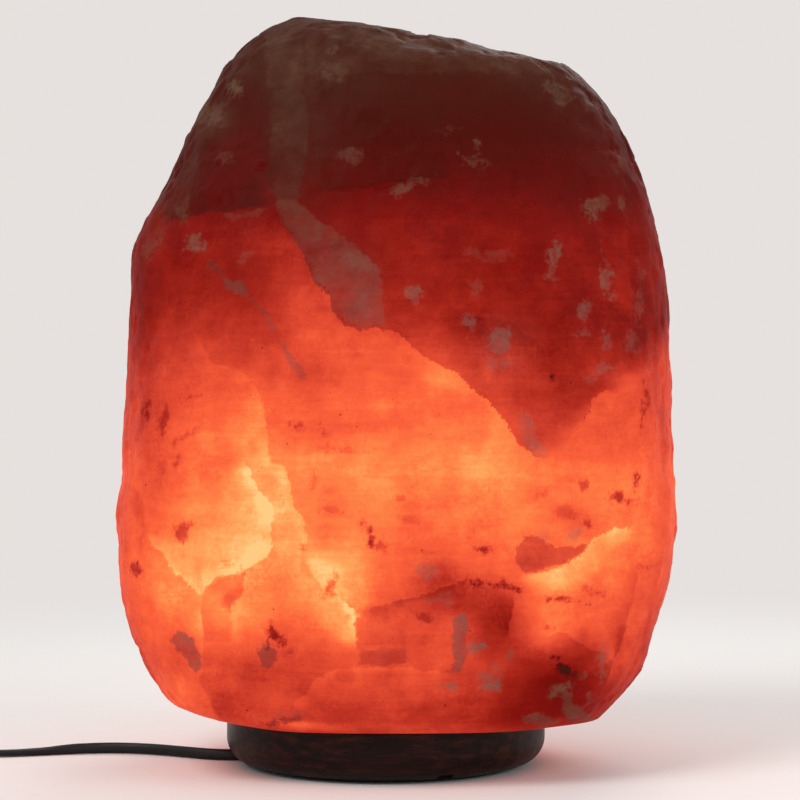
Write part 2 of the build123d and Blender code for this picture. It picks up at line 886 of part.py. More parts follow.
def cord_bushes():
    """Two rubber bushes where the cord enters and leaves the dimmer."""
    neck = bush_neck_radius - close_fit
    inner_end = dimmer_wall + close_fit
    profile = rod(bush_radius, close_fit, bush_length - close_fit)
    profile += rod(neck, -inner_end - bush_flange, inner_end + bush_flange + close_fit)
    profile += rod(bush_radius - 0.4, -inner_end - bush_flange, bush_flange)
    bush = Pos(dimmer_length / 2, 0, dimmer_middle) * Rot(0, 90, 0) * profile
    return [in_dimmer(bush), in_dimmer(Rot(0, 0, 180) * bush)]


def board_top():
    return dimmer_wall + board_seat + board_thickness


def wheel_bottom():
    return dimmer_middle - wheel_thickness / 2


def dimmer_board():
    bottom = dimmer_wall + board_seat
    board = Pos(0, 0, bottom + board_thickness / 2) * Box(board_length, board_width, board_thickness)
    return in_dimmer(board)


def potentiometer():
    """The variable resistor, with the shaft that the wheel turns on."""
    body = rod(pot_radius, board_top(), wheel_bottom() - 0.4 - board_top())
    shaft = rod(shaft_radius, board_top(), wheel_bottom() + wheel_thickness + 1.2 - board_top())
    return in_dimmer(Pos(*wheel_centre, 0) * (body + shaft))


def dimmer_wheel():
    """The thumbwheel: ridged round its rim, and shown by a dimple at its low end."""
    wheel = rod(wheel_radius, wheel_bottom(), wheel_thickness)
    notch = rod(0.7, wheel_bottom() - 1, wheel_thickness + 2)
    for cutter in around(notch, wheel_ridges, 0, wheel_radius + 0.2):
        wheel -= cutter
    wheel -= rod(shaft_radius + shaft_fit, wheel_bottom() - 1, wheel_thickness + 2)
    dimple = Pos(0, wheel_radius - 4, wheel_bottom() + wheel_thickness) * Sphere(1.0)
    return in_dimmer(Pos(*wheel_centre, 0) * (wheel - dimple))


def dimmer_triac():
    body = Pos(*triac_place, board_top() + triac_size[2] / 2) * Box(*triac_size)
    return in_dimmer(body)


def dimmer_capacitor():
    body = Pos(*capacitor_place, board_top() + capacitor_size[2] / 2) * Box(*capacitor_size)
    return in_dimmer(body)


def dimmer_choke():
    """A wound iron ring, shown as its outer form."""
    ring_height = board_top() + choke_winding_radius
    return in_dimmer(Pos(*choke_place, ring_height) * Torus(choke_radius, choke_winding_radius))


# ---------------------------------------------------------------- plug


def plug_body():
    """A flat moulded body, narrow at the cord and wide at the pins."""
    back, front = plug_back_width / 2, plug_body_width / 2
    shoulder = plug_body_length * 0.55
    outline = Polyline(
        (0, -back),
        (shoulder, -front),
        (plug_body_length, -front),
        (plug_body_length, front),
        (shoulder, front),
        (0, back),
        close=True,
    )
    body = extrude(make_face(outline), plug_body_height)
    body = fillet(body.edges().filter_by(Axis.Z), plug_corner)
    body = fillet(body.faces().sort_by(Axis.Z)[-1].edges(), 1.5)
    hole = rod(pin_neck_radius + close_fit / 3, -pin_root, pin_root + 1)
    for cutter in pin_places(hole):
        body -= cutter
    return Pos(plug_back_x, plug_y, 0) * body


def pin_places(shape):
    """Puts a shape that stands on Z = 0 at both pins, pointing out of the plug's front."""
    height = plug_body_height / 2
    return [
        Pos(plug_body_length, side * pin_spacing / 2, height) * Rot(0, 90, 0) * shape
        for side in (-1, 1)
    ]


def plug_pins():
    """Two round pins on thinner necks, which are rooted in the body."""
    pin = turned(
        [
            (0, -pin_root),
            (pin_neck_radius, -pin_root),
            (pin_neck_radius, pin_sleeve_length),
            (pin_radius, pin_sleeve_length),
            (pin_radius, pin_length - 0.8),
            (pin_radius - 0.8, pin_length),
            (0, pin_length),
        ]
    )
    return [Pos(plug_back_x, plug_y, 0) * place for place in pin_places(pin)]


def pin_sleeves():
    """The insulation on each pin's neck, flush with the pin."""
    sleeve = ring(pin_radius, pin_neck_radius, pin_foot, pin_sleeve_length - pin_foot)
    sleeve += ring(pin_neck_radius + pin_foot_wall, pin_neck_radius, 0, pin_foot)
    return [Pos(plug_back_x, plug_y, 0) * place for place in pin_places(sleeve)]


def plug_boot():
    """The ribbed strain relief between the cord and the plug."""
    points = [(0, 0), (cord_radius + 0.5, 0)]
    ribs = 4
    pitch = plug_boot_length / ribs
    for i in range(ribs):
        radius = cord_radius + 0.8 + (plug_boot_radius - cord_radius - 0.8) * (i + 1) / ribs
        points += [(radius, i * pitch + 0.4), (radius, (i + 0.7) * pitch), (radius - 0.6, (i + 0.75) * pitch)]
        points += [(radius - 0.6, (i + 0.97) * pitch)]
    points += [(plug_boot_radius - 0.6, plug_boot_length), (0, plug_boot_length)]
    boot = Rot(0, 90, 0) * turned(points)
    return Pos(plug_back_x - plug_boot_length, plug_y, plug_body_height / 2) * boot


coil, coil_end = cord_coil()
plug_route = [
    coil_end,
    (coil_end[0] + 10.5, plug_y, coil_end[2]),
    (plug_back_x - plug_boot_length - 11, plug_y, plug_body_height / 2),
    (plug_back_x - plug_boot_length, plug_y, plug_body_height / 2),
]

pieces["salt_crystal"] = salt_crystal()
pieces["wooden_base"] = wooden_base()
pieces["felt_ring"] = felt_ring()
pieces["crystal_screws"] = crystal_screws()
pieces["screw_plugs"] = screw_plugs()
pieces["holder_cap"] = holder_cap()
pieces["holder_body"] = holder_body()
pieces["contact_block"] = contact_block()
pieces["terminals"] = terminals()
pieces["terminal_screws"] = terminal_screws()
pieces["shell_contact"] = shell_contact()
pieces["centre_contact"] = centre_contact()
pieces["screw_shell"] = screw_shell()
pieces["supply_wires"] = supply_wires()
pieces["cord_grip"] = cord_grip()
pieces["spring_clip"] = spring_clip()
pieces["clip_screws"] = clip_screws()
pieces["bulb_cap"] = bulb_cap()
pieces["bulb_insulator"] = bulb_insulator()
pieces["bulb_tip"] = bulb_tip()
pieces["bulb_glass"] = bulb_glass()
pieces["bulb_stem"] = bulb_stem()
pieces["lead_wires"] = lead_wires()
pieces["filament"] = filament()
pieces["cord_in_base"] = tube(base_route, cord_radius, "cord in base", [12.0])
pieces["lamp_cord"] = tube(lamp_route, cord_radius, "lamp cord")
pieces["dimmer_cord"] = tube(dimmer_route, cord_radius, "dimmer cord")
pieces["cord_coil"] = coil
pieces["plug_cord"] = tube(plug_route, cord_radius, "plug cord")
pieces["coil_tie"] = coil_tie()
pieces["dimmer_bottom"] = dimmer_bottom()
pieces["dimmer_top"] = dimmer_top()
pieces["dimmer_screws"] = dimmer_screws()
pieces["cord_bushes"] = cord_bushes()
pieces["dimmer_board"] = dimmer_board()
pieces["potentiometer"] = potentiometer()
pieces["dimmer_wheel"] = dimmer_wheel()
pieces["dimmer_triac"] = dimmer_triac()
pieces["dimmer_capacitor"] = dimmer_capacitor()
pieces["dimmer_choke"] = dimmer_choke()
pieces["plug_body"] = plug_body()
pieces["plug_pins"] = plug_pins()
pieces["pin_sleeves"] = pin_sleeves()
pieces["plug_boot"] = plug_boot()

os.makedirs("parts", exist_ok=True)
for name, piece in pieces.items():
    if isinstance(piece, list):
        solids = [solid for shape in piece for solid in shape.solids()]
    else:
        solids = piece.solids()
    shape = solids[0] if len(solids) == 1 else Compound(children=solids)
    export_step(shape, f"parts/{name}.step")
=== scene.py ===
"""A salt crystal lamp: a glowing rock on a dark wooden base, with its cord, dimmer and plug."""

import math
from functools import partial

import bmesh
import bpy
import numpy as np
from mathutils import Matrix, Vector


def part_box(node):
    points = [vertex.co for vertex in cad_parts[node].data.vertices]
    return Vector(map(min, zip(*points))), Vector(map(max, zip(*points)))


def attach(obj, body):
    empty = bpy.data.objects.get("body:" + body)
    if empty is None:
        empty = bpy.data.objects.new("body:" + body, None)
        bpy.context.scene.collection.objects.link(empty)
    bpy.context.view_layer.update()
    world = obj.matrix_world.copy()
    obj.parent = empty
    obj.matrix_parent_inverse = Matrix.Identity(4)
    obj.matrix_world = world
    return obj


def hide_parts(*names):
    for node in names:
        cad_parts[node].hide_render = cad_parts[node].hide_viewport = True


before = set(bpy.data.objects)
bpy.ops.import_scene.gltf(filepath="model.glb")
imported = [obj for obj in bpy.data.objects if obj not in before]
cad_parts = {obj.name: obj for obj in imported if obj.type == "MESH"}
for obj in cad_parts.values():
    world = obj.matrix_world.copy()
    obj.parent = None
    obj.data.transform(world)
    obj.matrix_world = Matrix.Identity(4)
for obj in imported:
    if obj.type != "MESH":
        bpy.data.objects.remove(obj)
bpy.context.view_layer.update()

bl_info = {
    "name": "Salt Crystal Lamp",
    "version": (1, 0, 0),
    "blender": (4, 5, 0),
    "location": "3D View > Sidebar > Salt Lamp",
    "description": "Dresses the frame of a salt crystal lamp, piece by piece",
    "category": "Object",
}

MM = 0.001

# the camera, and its view of 800 by 800 pixels: where the rock's front is drawn,
# its outlines are given in that view
CAMERA_PLACE = (7.6, -1300.0, 195.7)
SENSOR_WIDTH = 36.0
VIEW_PIXELS = 800
VIEW_MIDDLE = VIEW_PIXELS / 2
VIEW_SCALE = 2405.0  # pixels at a distance of 1

COLOURS = {"data_type": "RGBA"}  # what a Mix node mixes
PALE = "E6E1DE"  # the light behind the floor
FLOOR_REACH = 6000.0
LAMPS_AIM = (0.0, 0.0, 0.18)

# smooth random values: cells in the lattice, shift from octave to octave, gain
LATTICE_SIDE = 32
LATTICE_SHIFT = 5.7
LATTICE_GAIN = 1.5

# grip ribs, filament and choke; the wires' radii are in metres
RIB_COUNT = 6
RIB_SINK = 0.05
FILAMENT_WIRE = 0.00011
CHOKE_WIRE = 0.00036
CHOKE_TURNS = 34


# ---------------------------------------------------------------- small tools


def colour(hex_code):
    """An sRGB hex colour as linear RGBA."""
    values = []
    for i in (0, 2, 4):
        value = int(hex_code[i : i + 2], 16) / 255
        values.append(value / 12.92 if value <= 0.04045 else ((value + 0.055) / 1.055) ** 2.4)
    return (*values, 1.0)


def set_stops(ramp, stops):
    """Gives a colour ramp its stops: (place, hex colour or grey value)."""
    while len(ramp.elements) < len(stops):
        ramp.elements.new(0.5)
    for element, (place, tint) in zip(ramp.elements, stops):
        element.position = place
        element.color = colour(tint) if isinstance(tint, str) else (tint, tint, tint, 1.0)


def feed(node, *values, **named):
    """Sets a node's inputs, or links sockets to them: in order, by name, or by number as i6."""
    for key, value in (*enumerate(values), *named.items()):
        if isinstance(key, str):
            key = int(key[1:]) if key[1:].isdigit() else key.replace("_", " ")
        if isinstance(value, bpy.types.NodeSocket):
            node.id_data.links.new(value, node.inputs[key])
        else:
            node.inputs[key].default_value = value


def add(tree, kind, settings=None, *values, out=0, **named):
    """Adds a node with its settings and inputs, and returns one of its outputs. A single word
    for its settings is its operation."""
    node = tree.nodes.new(tree.bl_idname.removesuffix("Tree") + kind)
    if isinstance(settings, str):
        settings = {"operation": settings}
    owner = getattr(node, "color_ramp", node)
    for name, value in (settings or {}).items():
        if name == "stops":
            set_stops(owner, value)
        else:
            setattr(owner, name, value)
    feed(node, *values, **named)
    return node.outputs[out]


def new_material(name):
    """A material with one Principled shader; returns it, what adds its nodes, and its shader."""
    material = bpy.data.materials.new(name)
    material.use_nodes = True
    tree = material.node_tree
    return material, partial(add, tree), tree.nodes["Principled BSDF"]


def place_of(node, stretch=(1.0, 1.0, 1.0)):
    """Object coordinates, stretched."""
    where = node("TexCoord", out="Object")
    if stretch == (1.0, 1.0, 1.0):
        return where
    return node("Mapping", Vector=where, Scale=stretch)


def grain(node, size_mm, detail=2.0, stretch=(1.0, 1.0, 1.0), rough=0.5, **more):
    """Noise over the object, whose lumps are about size_mm apart."""
    return node(
        "TexNoise", Vector=place_of(node, stretch), Scale=1 / (size_mm * MM), Detail=detail,
        Roughness=rough, **more,
    )


def new_piece(name, mesh, materials=(), smooth=True):
    """A piece at the origin, from a mesh that is already in place."""
    piece = bpy.data.objects.new(name, mesh)
    bpy.context.scene.collection.objects.link(piece)
    for material in materials:
        mesh.materials.append(material)
    if smooth:
        mesh.shade_smooth()
    return piece


def mesh_of(name, points, faces):
    """A mesh from points in millimetres."""
    mesh = bpy.data.meshes.new(name)
    mesh.from_pydata((np.asarray(points, dtype=float) * MM).tolist(), [], faces)
    mesh.update()
    return mesh


def recalculated(mesh, merge_mm=0.001):
    """Merges doubles and turns all faces outwards."""
    shell = bmesh.new()
    shell.from_mesh(mesh)
    bmesh.ops.remove_doubles(shell, verts=shell.verts, dist=merge_mm * MM)
    bmesh.ops.recalc_face_normals(shell, faces=shell.faces)
    shell.to_mesh(mesh)
    shell.free()
    mesh.update()
    return mesh


def sharp_over(mesh, degrees):
    """Keeps edges over this angle sharp."""
    shell = bmesh.new()
    shell.from_mesh(mesh)
    limit = math.radians(degrees)
    for edge in shell.edges:
        edge.smooth = len(edge.link_faces) == 2 and edge.calc_face_angle(0.0) < limit
    for face in shell.faces:
        face.smooth = True
    shell.to_mesh(mesh)
    shell.free()


def dress(material, *nodes):
    """Gives solids of the frame a finish."""
    for node in nodes:
        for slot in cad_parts[node].material_slots:
            slot.material = material


def pattern(node, size_mm, stops, detail=2.0, stretch=(1.0, 1.0, 1.0), rough=0.5):
    """Noise of a real size, turned into the colours or values of a ramp's stops."""
    return node("ValToRGB", {"stops": stops}, grain(node, size_mm, detail, stretch, rough))


def mesh_from_shell(name, shell):
    """A new mesh from a bmesh, which is freed."""
    mesh = bpy.data.meshes.new(name)
    shell.to_mesh(mesh)
    shell.free()
    mesh.update()
    return mesh


def mottled(
    name, tones, patch_mm, roughness, grain_mm, depth_mm, *nodes, stretch=(1.0, 1.0, 1.0), **inputs
):
    """A finish that drifts between two tones in patches, with a fine grain in its skin; nodes of
    the frame that wear it are dressed in it."""
    material, node, shader = new_material(name)
    drift = pattern(node, patch_mm, [(0.35, 0.0), (0.65, 1.0)], 3.0, stretch)
    tint = node("Mix", COLOURS, drift, i6=colour(tones[0]), i7=colour(tones[1]), out=2)
    fine = grain(node, grain_mm, 2.0, stretch)
    rough = node("ValToRGB", {"stops": [(0.3, roughness[0]), (0.7, roughness[1])]}, fine)
    bump = node("Bump", Height=fine, Distance=depth_mm * MM, Strength=1.0)
    feed(shader, Base_Color=tint, Roughness=rough, Normal=bump, **inputs)
    dress(material, *nodes)
    return material


def new_growth(name, *sizes):
    """A Geometry Nodes tree with a named input for each size; returns what adds its nodes, and
    the sizes' outputs."""
    tree = bpy.data.node_groups.new(name, "GeometryNodeTree")
    tree.interface.new_socket("Geometry", in_out="OUTPUT", socket_type="NodeSocketGeometry")
    for label, kind in sizes:
        tree.interface.new_socket(label, in_out="INPUT", socket_type="NodeSocket" + kind)
    return partial(add, tree), tree.nodes.new("NodeGroupInput").outputs


def finished_mesh(holder):
    """An object's finished mesh; the object itself is removed."""
    bpy.context.scene.collection.objects.link(holder)
    bpy.context.view_layer.update()
    finished = holder.evaluated_get(bpy.context.evaluated_depsgraph_get())
    mesh = bpy.data.meshes.new_from_object(finished)
    bpy.data.objects.remove(holder)
    return mesh


def grown(name, geometry, material, values):
    """Ends the tree of a geometry, grows it with its sizes and returns the plain mesh."""
    tree = geometry.id_data
    real = add(tree, "RealizeInstances", Geometry=geometry)
    smooth = add(tree, "SetShadeSmooth", Geometry=real)
    painted = add(tree, "SetMaterial", Geometry=smooth, Material=material)
    tree.links.new(painted, tree.nodes.new("NodeGroupOutput").inputs[0])
    holder = bpy.data.objects.new(name, bpy.data.meshes.new(name))
    modifier = holder.modifiers.new("growth", "NODES")
    modifier.node_group = tree
    for item in tree.interface.items_tree:
        if item.in_out == "INPUT":
            modifier[item.identifier] = values[item.name]
    return finished_mesh(holder)


def joined(name, meshes):
    """One mesh from several."""
    shell = bmesh.new()
    for mesh in meshes:
        shell.from_mesh(mesh)
    return mesh_from_shell(name, shell)


def standing_for(piece, body, slot, *nodes):
    """Makes a piece ride on its body and stand for CAD nodes."""
    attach(piece, body)
    if nodes:
        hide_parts(*nodes)


def lumps(points, size, seed, octaves=1):
    """Smooth random values of about -1 to 1, with lumps of the given size in mm."""
    lattice = np.random.RandomState(seed).uniform(-1, 1, (LATTICE_SIDE,) * 3)
    total, amplitude, spread = np.zeros(len(points)), 1.0, 0.0
    for octave in range(octaves):
        where = points / size * 2**octave + LATTICE_SHIFT * octave
        low = np.floor(where).astype(int)
        part = where - low
        part = part * part * (3 - 2 * part)
        value = 0
        for corner in range(8):
            step = np.array([corner & 1, corner >> 1 & 1, corner >> 2 & 1])
            index = (low + step) % LATTICE_SIDE
            weight = np.prod(np.where(step == 1, part, 1 - part), axis=1)
            value = value + weight * lattice[index[:, 0], index[:, 1], index[:, 2]]
        total += amplitude * value
        spread += amplitude
        amplitude *= 0.5
    return total / spread * LATTICE_GAIN


def eased(value, low, high):
    """0 below low, 1 above high, and smooth between."""
    share = np.clip((value - low) / (high - low), 0, 1)
    return share * share * (3 - 2 * share)


# ---------------------------------------------------------------- the rock's form

# rings from the sawn seat upwards: height above the seat at the axis, tilt, and how far the
# rock reaches to the left, right, front and back; mm
ROCK_RINGS = [
    (0.0, 0.0, 92.0, 116.0, 98.0, 94.0), (8.0, 0.0, 115.0, 125.0, 106.0, 100.0),
    (27.0, 0.0, 130.0, 139.0, 112.0, 106.0), (49.0, 0.0, 137.5, 145.5, 116.0, 110.0),
    (76.0, 0.0, 143.0, 152.5, 118.0, 112.0), (103.0, 0.0, 144.0, 156.0, 117.0, 112.0),
    (136.0, 0.0, 142.0, 155.0, 115.0, 110.0), (178.0, 0.0, 140.0, 153.5, 112.0, 108.0),
    (222.0, 0.0, 137.0, 151.5, 108.0, 104.0), (253.0, 0.0, 134.0, 146.5, 102.0, 98.0),
    (286.0, 0.0, 117.0, 138.0, 93.0, 90.0), (316.0, 0.0, 102.5, 125.0, 82.0, 80.0),
    (341.0, 0.0, 90.0, 106.0, 68.0, 66.0), (353.0, -0.10, 71.0, 97.0, 55.0, 53.0),
    (362.0, -0.18, 50.0, 66.0, 38.0, 36.0),
]
ROCK_SIDES = 16
ROCK_SQUARENESS = 0.78
TOP_SHARES = (0.66, 0.33, 0.0)  # sizes of the rings that close the top, of the last ring's
FINE_ROWS = 600
ROCK_ROUGHNESS = 0.035
SEAT_HEIGHT = 29.0
ROCK_TOP = 400.0
CAVITY_RADIUS = 30.0
CAVITY_TOP = 194.95
PLUG_HOLES = [(58.0, 30.0), (58.0, 150.0), (58.0, 270.0)]  # radius, angle
PLUG_HOLE_RADIUS = 4.0
PLUG_HOLE_TOP = 60.0
BROKEN_FACES = 46
CLEAVAGE_STEP = 0.6
ROCK_SHARP = 38  # edges over this many degrees stay sharp
# drawn forms are in the view's pixels: how steeply soft patches and ledges fade, how far a
# ledge thins out towards its ends, and half the width over which an edge's relief rises
FAR = 1e9
PATCH_FALL = 0.8
LEDGE_FALL = 1.6
LEDGE_END = 16
RELIEF_STEP = 3
EDGE_UNIT = 10  # edge distances are kept in tens of pixels
OUTSIDE = -6.0  # an edge distance far outside every outline
# what is kept at each point of the rock, for its material; haze is grey mineral and painted sheen
ROCK_MARKS = (
    "glow", "haze", "limb", "ledge_edge", "ledge_glow", "patch_edge", "patch_glow", "patch_haze",
    "spot_edge", "spot_haze", "clay_edge", "clay_share", "face_edge", "face_drop",
)


def rock_ring(number):
    """One ring's corner points."""
    height, tilt, left, right, front, back = ROCK_RINGS[number]
    points = []
    for side in range(ROCK_SIDES):
        angle = 2 * math.pi * side / ROCK_SIDES
        along, across = math.cos(angle), math.sin(angle)
        x = (right if along > 0 else left) * abs(along) ** ROCK_SQUARENESS
        y = (back if across > 0 else front) * abs(across) ** ROCK_SQUARENESS
        wobble = math.sin(3.1 * side + 1.3 * number) + 0.6 * math.sin(1.7 * side - 2.3 * number)
        swell = 1 + ROCK_ROUGHNESS * wobble * across**2
        x = x * swell * (1 if along > 0 else -1)
        y = y * swell * (1 if across > 0 else -1)
        points.append((x, y, SEAT_HEIGHT + height + tilt * x))
    return np.array(points)


def curve_weights(place, count, closed):
    """For each place on a row of points, the four neighbours and their weights."""
    low = np.floor(place).astype(int)
    t = place - low
    weights = [
        -0.5 * t + t**2 - 0.5 * t**3,
        1 - 2.5 * t**2 + 1.5 * t**3,
        0.5 * t + 2 * t**2 - 1.5 * t**3,
        -0.5 * t**2 + 0.5 * t**3,
    ]
    if closed:
        return [((low + k - 1) % count, weights[k]) for k in range(4)]
    return [(np.clip(low + k - 1, 0, count - 1), weights[k]) for k in range(4)]


def rock_grid(columns_front, columns_back, rows):
    """The rock's smooth form: an array of rows by columns of points, from seat to top."""
    rings = [rock_ring(i) for i in range(len(ROCK_RINGS))]
    last = rings[-1]
    top = last.mean(axis=0)
    for share in TOP_SHARES:
        rings.append(top + share * (last - top))
    rings = np.array(rings)
    half = ROCK_SIDES // 2
    back = np.linspace(0, half, columns_back, endpoint=False)
    front = np.linspace(half, ROCK_SIDES, columns_front, endpoint=False)
    across = sum(
        rings[:, index, :] * weight[None, :, None]
        for index, weight in curve_weights(np.concatenate([back, front]), ROCK_SIDES, True)
    )
    steps = np.linspace(0, len(rings) - 1, FINE_ROWS)

    def rows_at(place):
        return sum(
            across[index] * weight[:, None, None]
            for index, weight in curve_weights(place, len(rings), False)
        )

    fine = rows_at(steps)
    length = np.linalg.norm(np.diff(fine, axis=0), axis=2).mean(axis=1)
    length = np.concatenate([[0], np.cumsum(length)])
    return rows_at(np.interp(np.linspace(0, length[-1], rows), length, steps))


def seen_from_front(points):
    """Where points in mm fall in the front view, in pixels."""
    depth = points[:, 1] - CAMERA_PLACE[1]
    across = VIEW_MIDDLE + VIEW_SCALE * (points[:, 0] - CAMERA_PLACE[0]) / depth
    down = VIEW_MIDDLE - VIEW_SCALE * (points[:, 2] - CAMERA_PLACE[2]) / depth
    return np.stack([across, down], axis=1)


def line_distance(places, line, closed=False):
    """Distance to a line in pixels, signed: over 0 on its right as it runs, or inside."""
    ends = list(zip(line, line[1:] + line[:1])) if closed else list(zip(line, line[1:]))
    nearest, side = np.full(len(places), FAR), np.ones(len(places))
    crossings = np.zeros(len(places), dtype=int)
    for a, b in ends:
        a, b = np.array(a, float), np.array(b, float)
        run = b - a
        share = np.clip(((places - a) @ run) / (run @ run), 0, 1)
        gap = places - (a + share[:, None] * run)
        distance = np.hypot(gap[:, 0], gap[:, 1])
        turn = run[0] * (places[:, 1] - a[1]) - run[1] * (places[:, 0] - a[0])
        closer = distance < nearest - 1e-9
        side = np.where(closer, np.sign(turn), side)
        nearest = np.where(closer, distance, nearest)
        if closed:
            above = (a[1] > places[:, 1]) != (b[1] > places[:, 1])
            with np.errstate(divide="ignore", invalid="ignore"):
                cut = (b[0] - a[0]) * (places[:, 1] - a[1]) / (b[1] - a[1]) + a[0]
            crossings += above & (places[:, 0] < cut)
    if closed:
        side = np.where(crossings % 2 == 1, 1.0, -1.0)
    return nearest * side


# how bright the glow is down the front: height in the view, level
GLOW_DOWN = [
    (0, 0.02), (90, 0.08), (160, 0.18), (190, 0.25), (225, 0.36), (300, 0.49), (365, 0.65), (430, 0.75),
    (470, 0.81), (520, 0.78), (590, 0.69), (660, 0.64), (735, 0.56),
]

# soft patches: middle, half width and height, turn in degrees, change of glow
GLOW_BLOBS = [
    ((245, 545), 32, 48, 8, 0.15), ((200, 565), 44, 42, 0, 0.12), ((262, 470), 18, 60, -15, 0.08),
    ((325, 580), 40, 26, 20, 0.20), ((338, 625), 24, 26, 20, 0.11), ((245, 612), 54, 26, 0, 0.13),
    ((150, 595), 40, 40, 0, 0.10), ((205, 300), 60, 44, 0, -0.06), ((150, 380), 40, 80, 0, -0.10),
    ((160, 470), 22, 40, 0, -0.05), ((182, 697), 24, 20, 35, 0.14), ((300, 690), 60, 40, 0, -0.05),
    ((470, 470), 80, 22, -8, 0.04), ((560, 580), 42, 18, -18, 0.07), ((630, 590), 36, 40, 0, 0.08),
    ((545, 605), 44, 30, 0, 0.11), ((498, 625), 34, 26, 20, -0.19), ((470, 600), 50, 20, 0, -0.12),
    ((560, 680), 46, 34, 25, -0.26), ((590, 640), 40, 26, 0, -0.02), ((610, 700), 40, 40, 0, -0.06),
    ((548, 640), 26, 22, 20, 0.19), ((520, 700), 26, 24, 0, -0.10), ((405, 470), 60, 30, 0, 0.03),
    ((500, 718), 90, 14, 0, -0.10), ((395, 360), 80, 22, 12, 0.05), ((320, 270), 50, 50, 40, -0.03),
    ((300, 300), 26, 44, -35, 0.07), ((430, 415), 120, 14, 6, 0.03), ((360, 425), 110, 10, -10, -0.05),
    ((430, 505), 60, 8, -6, -0.02), ((330, 500), 16, 24, 0, -0.05), ((440, 575), 26, 20, 0, -0.12),
    ((569, 514), 20, 14, 30, -0.09), ((238, 150), 24, 50, 15, 0.04), ((400, 112), 110, 24, 0, -0.02),
    ((250, 370), 70, 26, 0, -0.06), ((330, 515), 34, 40, 0, 0.05), ((215, 528), 30, 30, 0, 0.04),
    ((316, 608), 24, 26, 0, 0.08), ((225, 622), 26, 26, 0, 0.08), ((222, 662), 20, 18, 0, 0.06),
    ((345, 572), 34, 26, 20, 0.05), ((385, 545), 50, 24, 0, 0.04), ((650, 372), 20, 36, 0, -0.08),
    ((662, 450), 12, 60, 0, -0.06), ((650, 618), 14, 40, 0, -0.07), ((612, 662), 12, 16, 0, 0.08),
    ((136, 330), 14, 80, 0, -0.08), ((590, 435), 44, 40, 0, -0.06),
    # the light of the cavity, between the rock's lower edge and the base
    ((303, 726), 36, 4, 3, 0.16),
]

# soft grey mineral haze and painted sheen on the top and limbs: middle, half width and height, turn in
# degrees, share
HAZE_AND_SHEEN_BLOBS = [
    ((290, 60), 26, 30, 0, 0.16), ((288, 130), 24, 74, 0, 0.14), ((320, 120), 26, 70, 0, 0.07),
    ((333, 70), 22, 11, 0, 0.20), ((370, 38), 44, 12, 6, 0.16), ((430, 45), 60, 16, 12, 0.16),
    ((500, 62), 60, 16, 8, 0.14), ((560, 96), 40, 22, 40, 0.12), ((600, 140), 20, 40, -20, 0.10),
    ((214, 118), 18, 20, -40, 0.30), ((196, 150), 10, 34, 12, 0.22), ((170, 200), 16, 24, 30, 0.20),
    ((150, 240), 10, 24, 10, 0.12), ((640, 200), 12, 50, -6, 0.07), ((250, 60), 26, 16, -30, 0.10),
    ((345, 262), 18, 30, -40, 0.30), ((420, 90), 90, 12, 0, 0.05), ((650, 280), 8, 60, 0, 0.05),
    ((500, 345), 26, 26, 0, 0.14), ((360, 318), 24, 8, 10, 0.10),
]

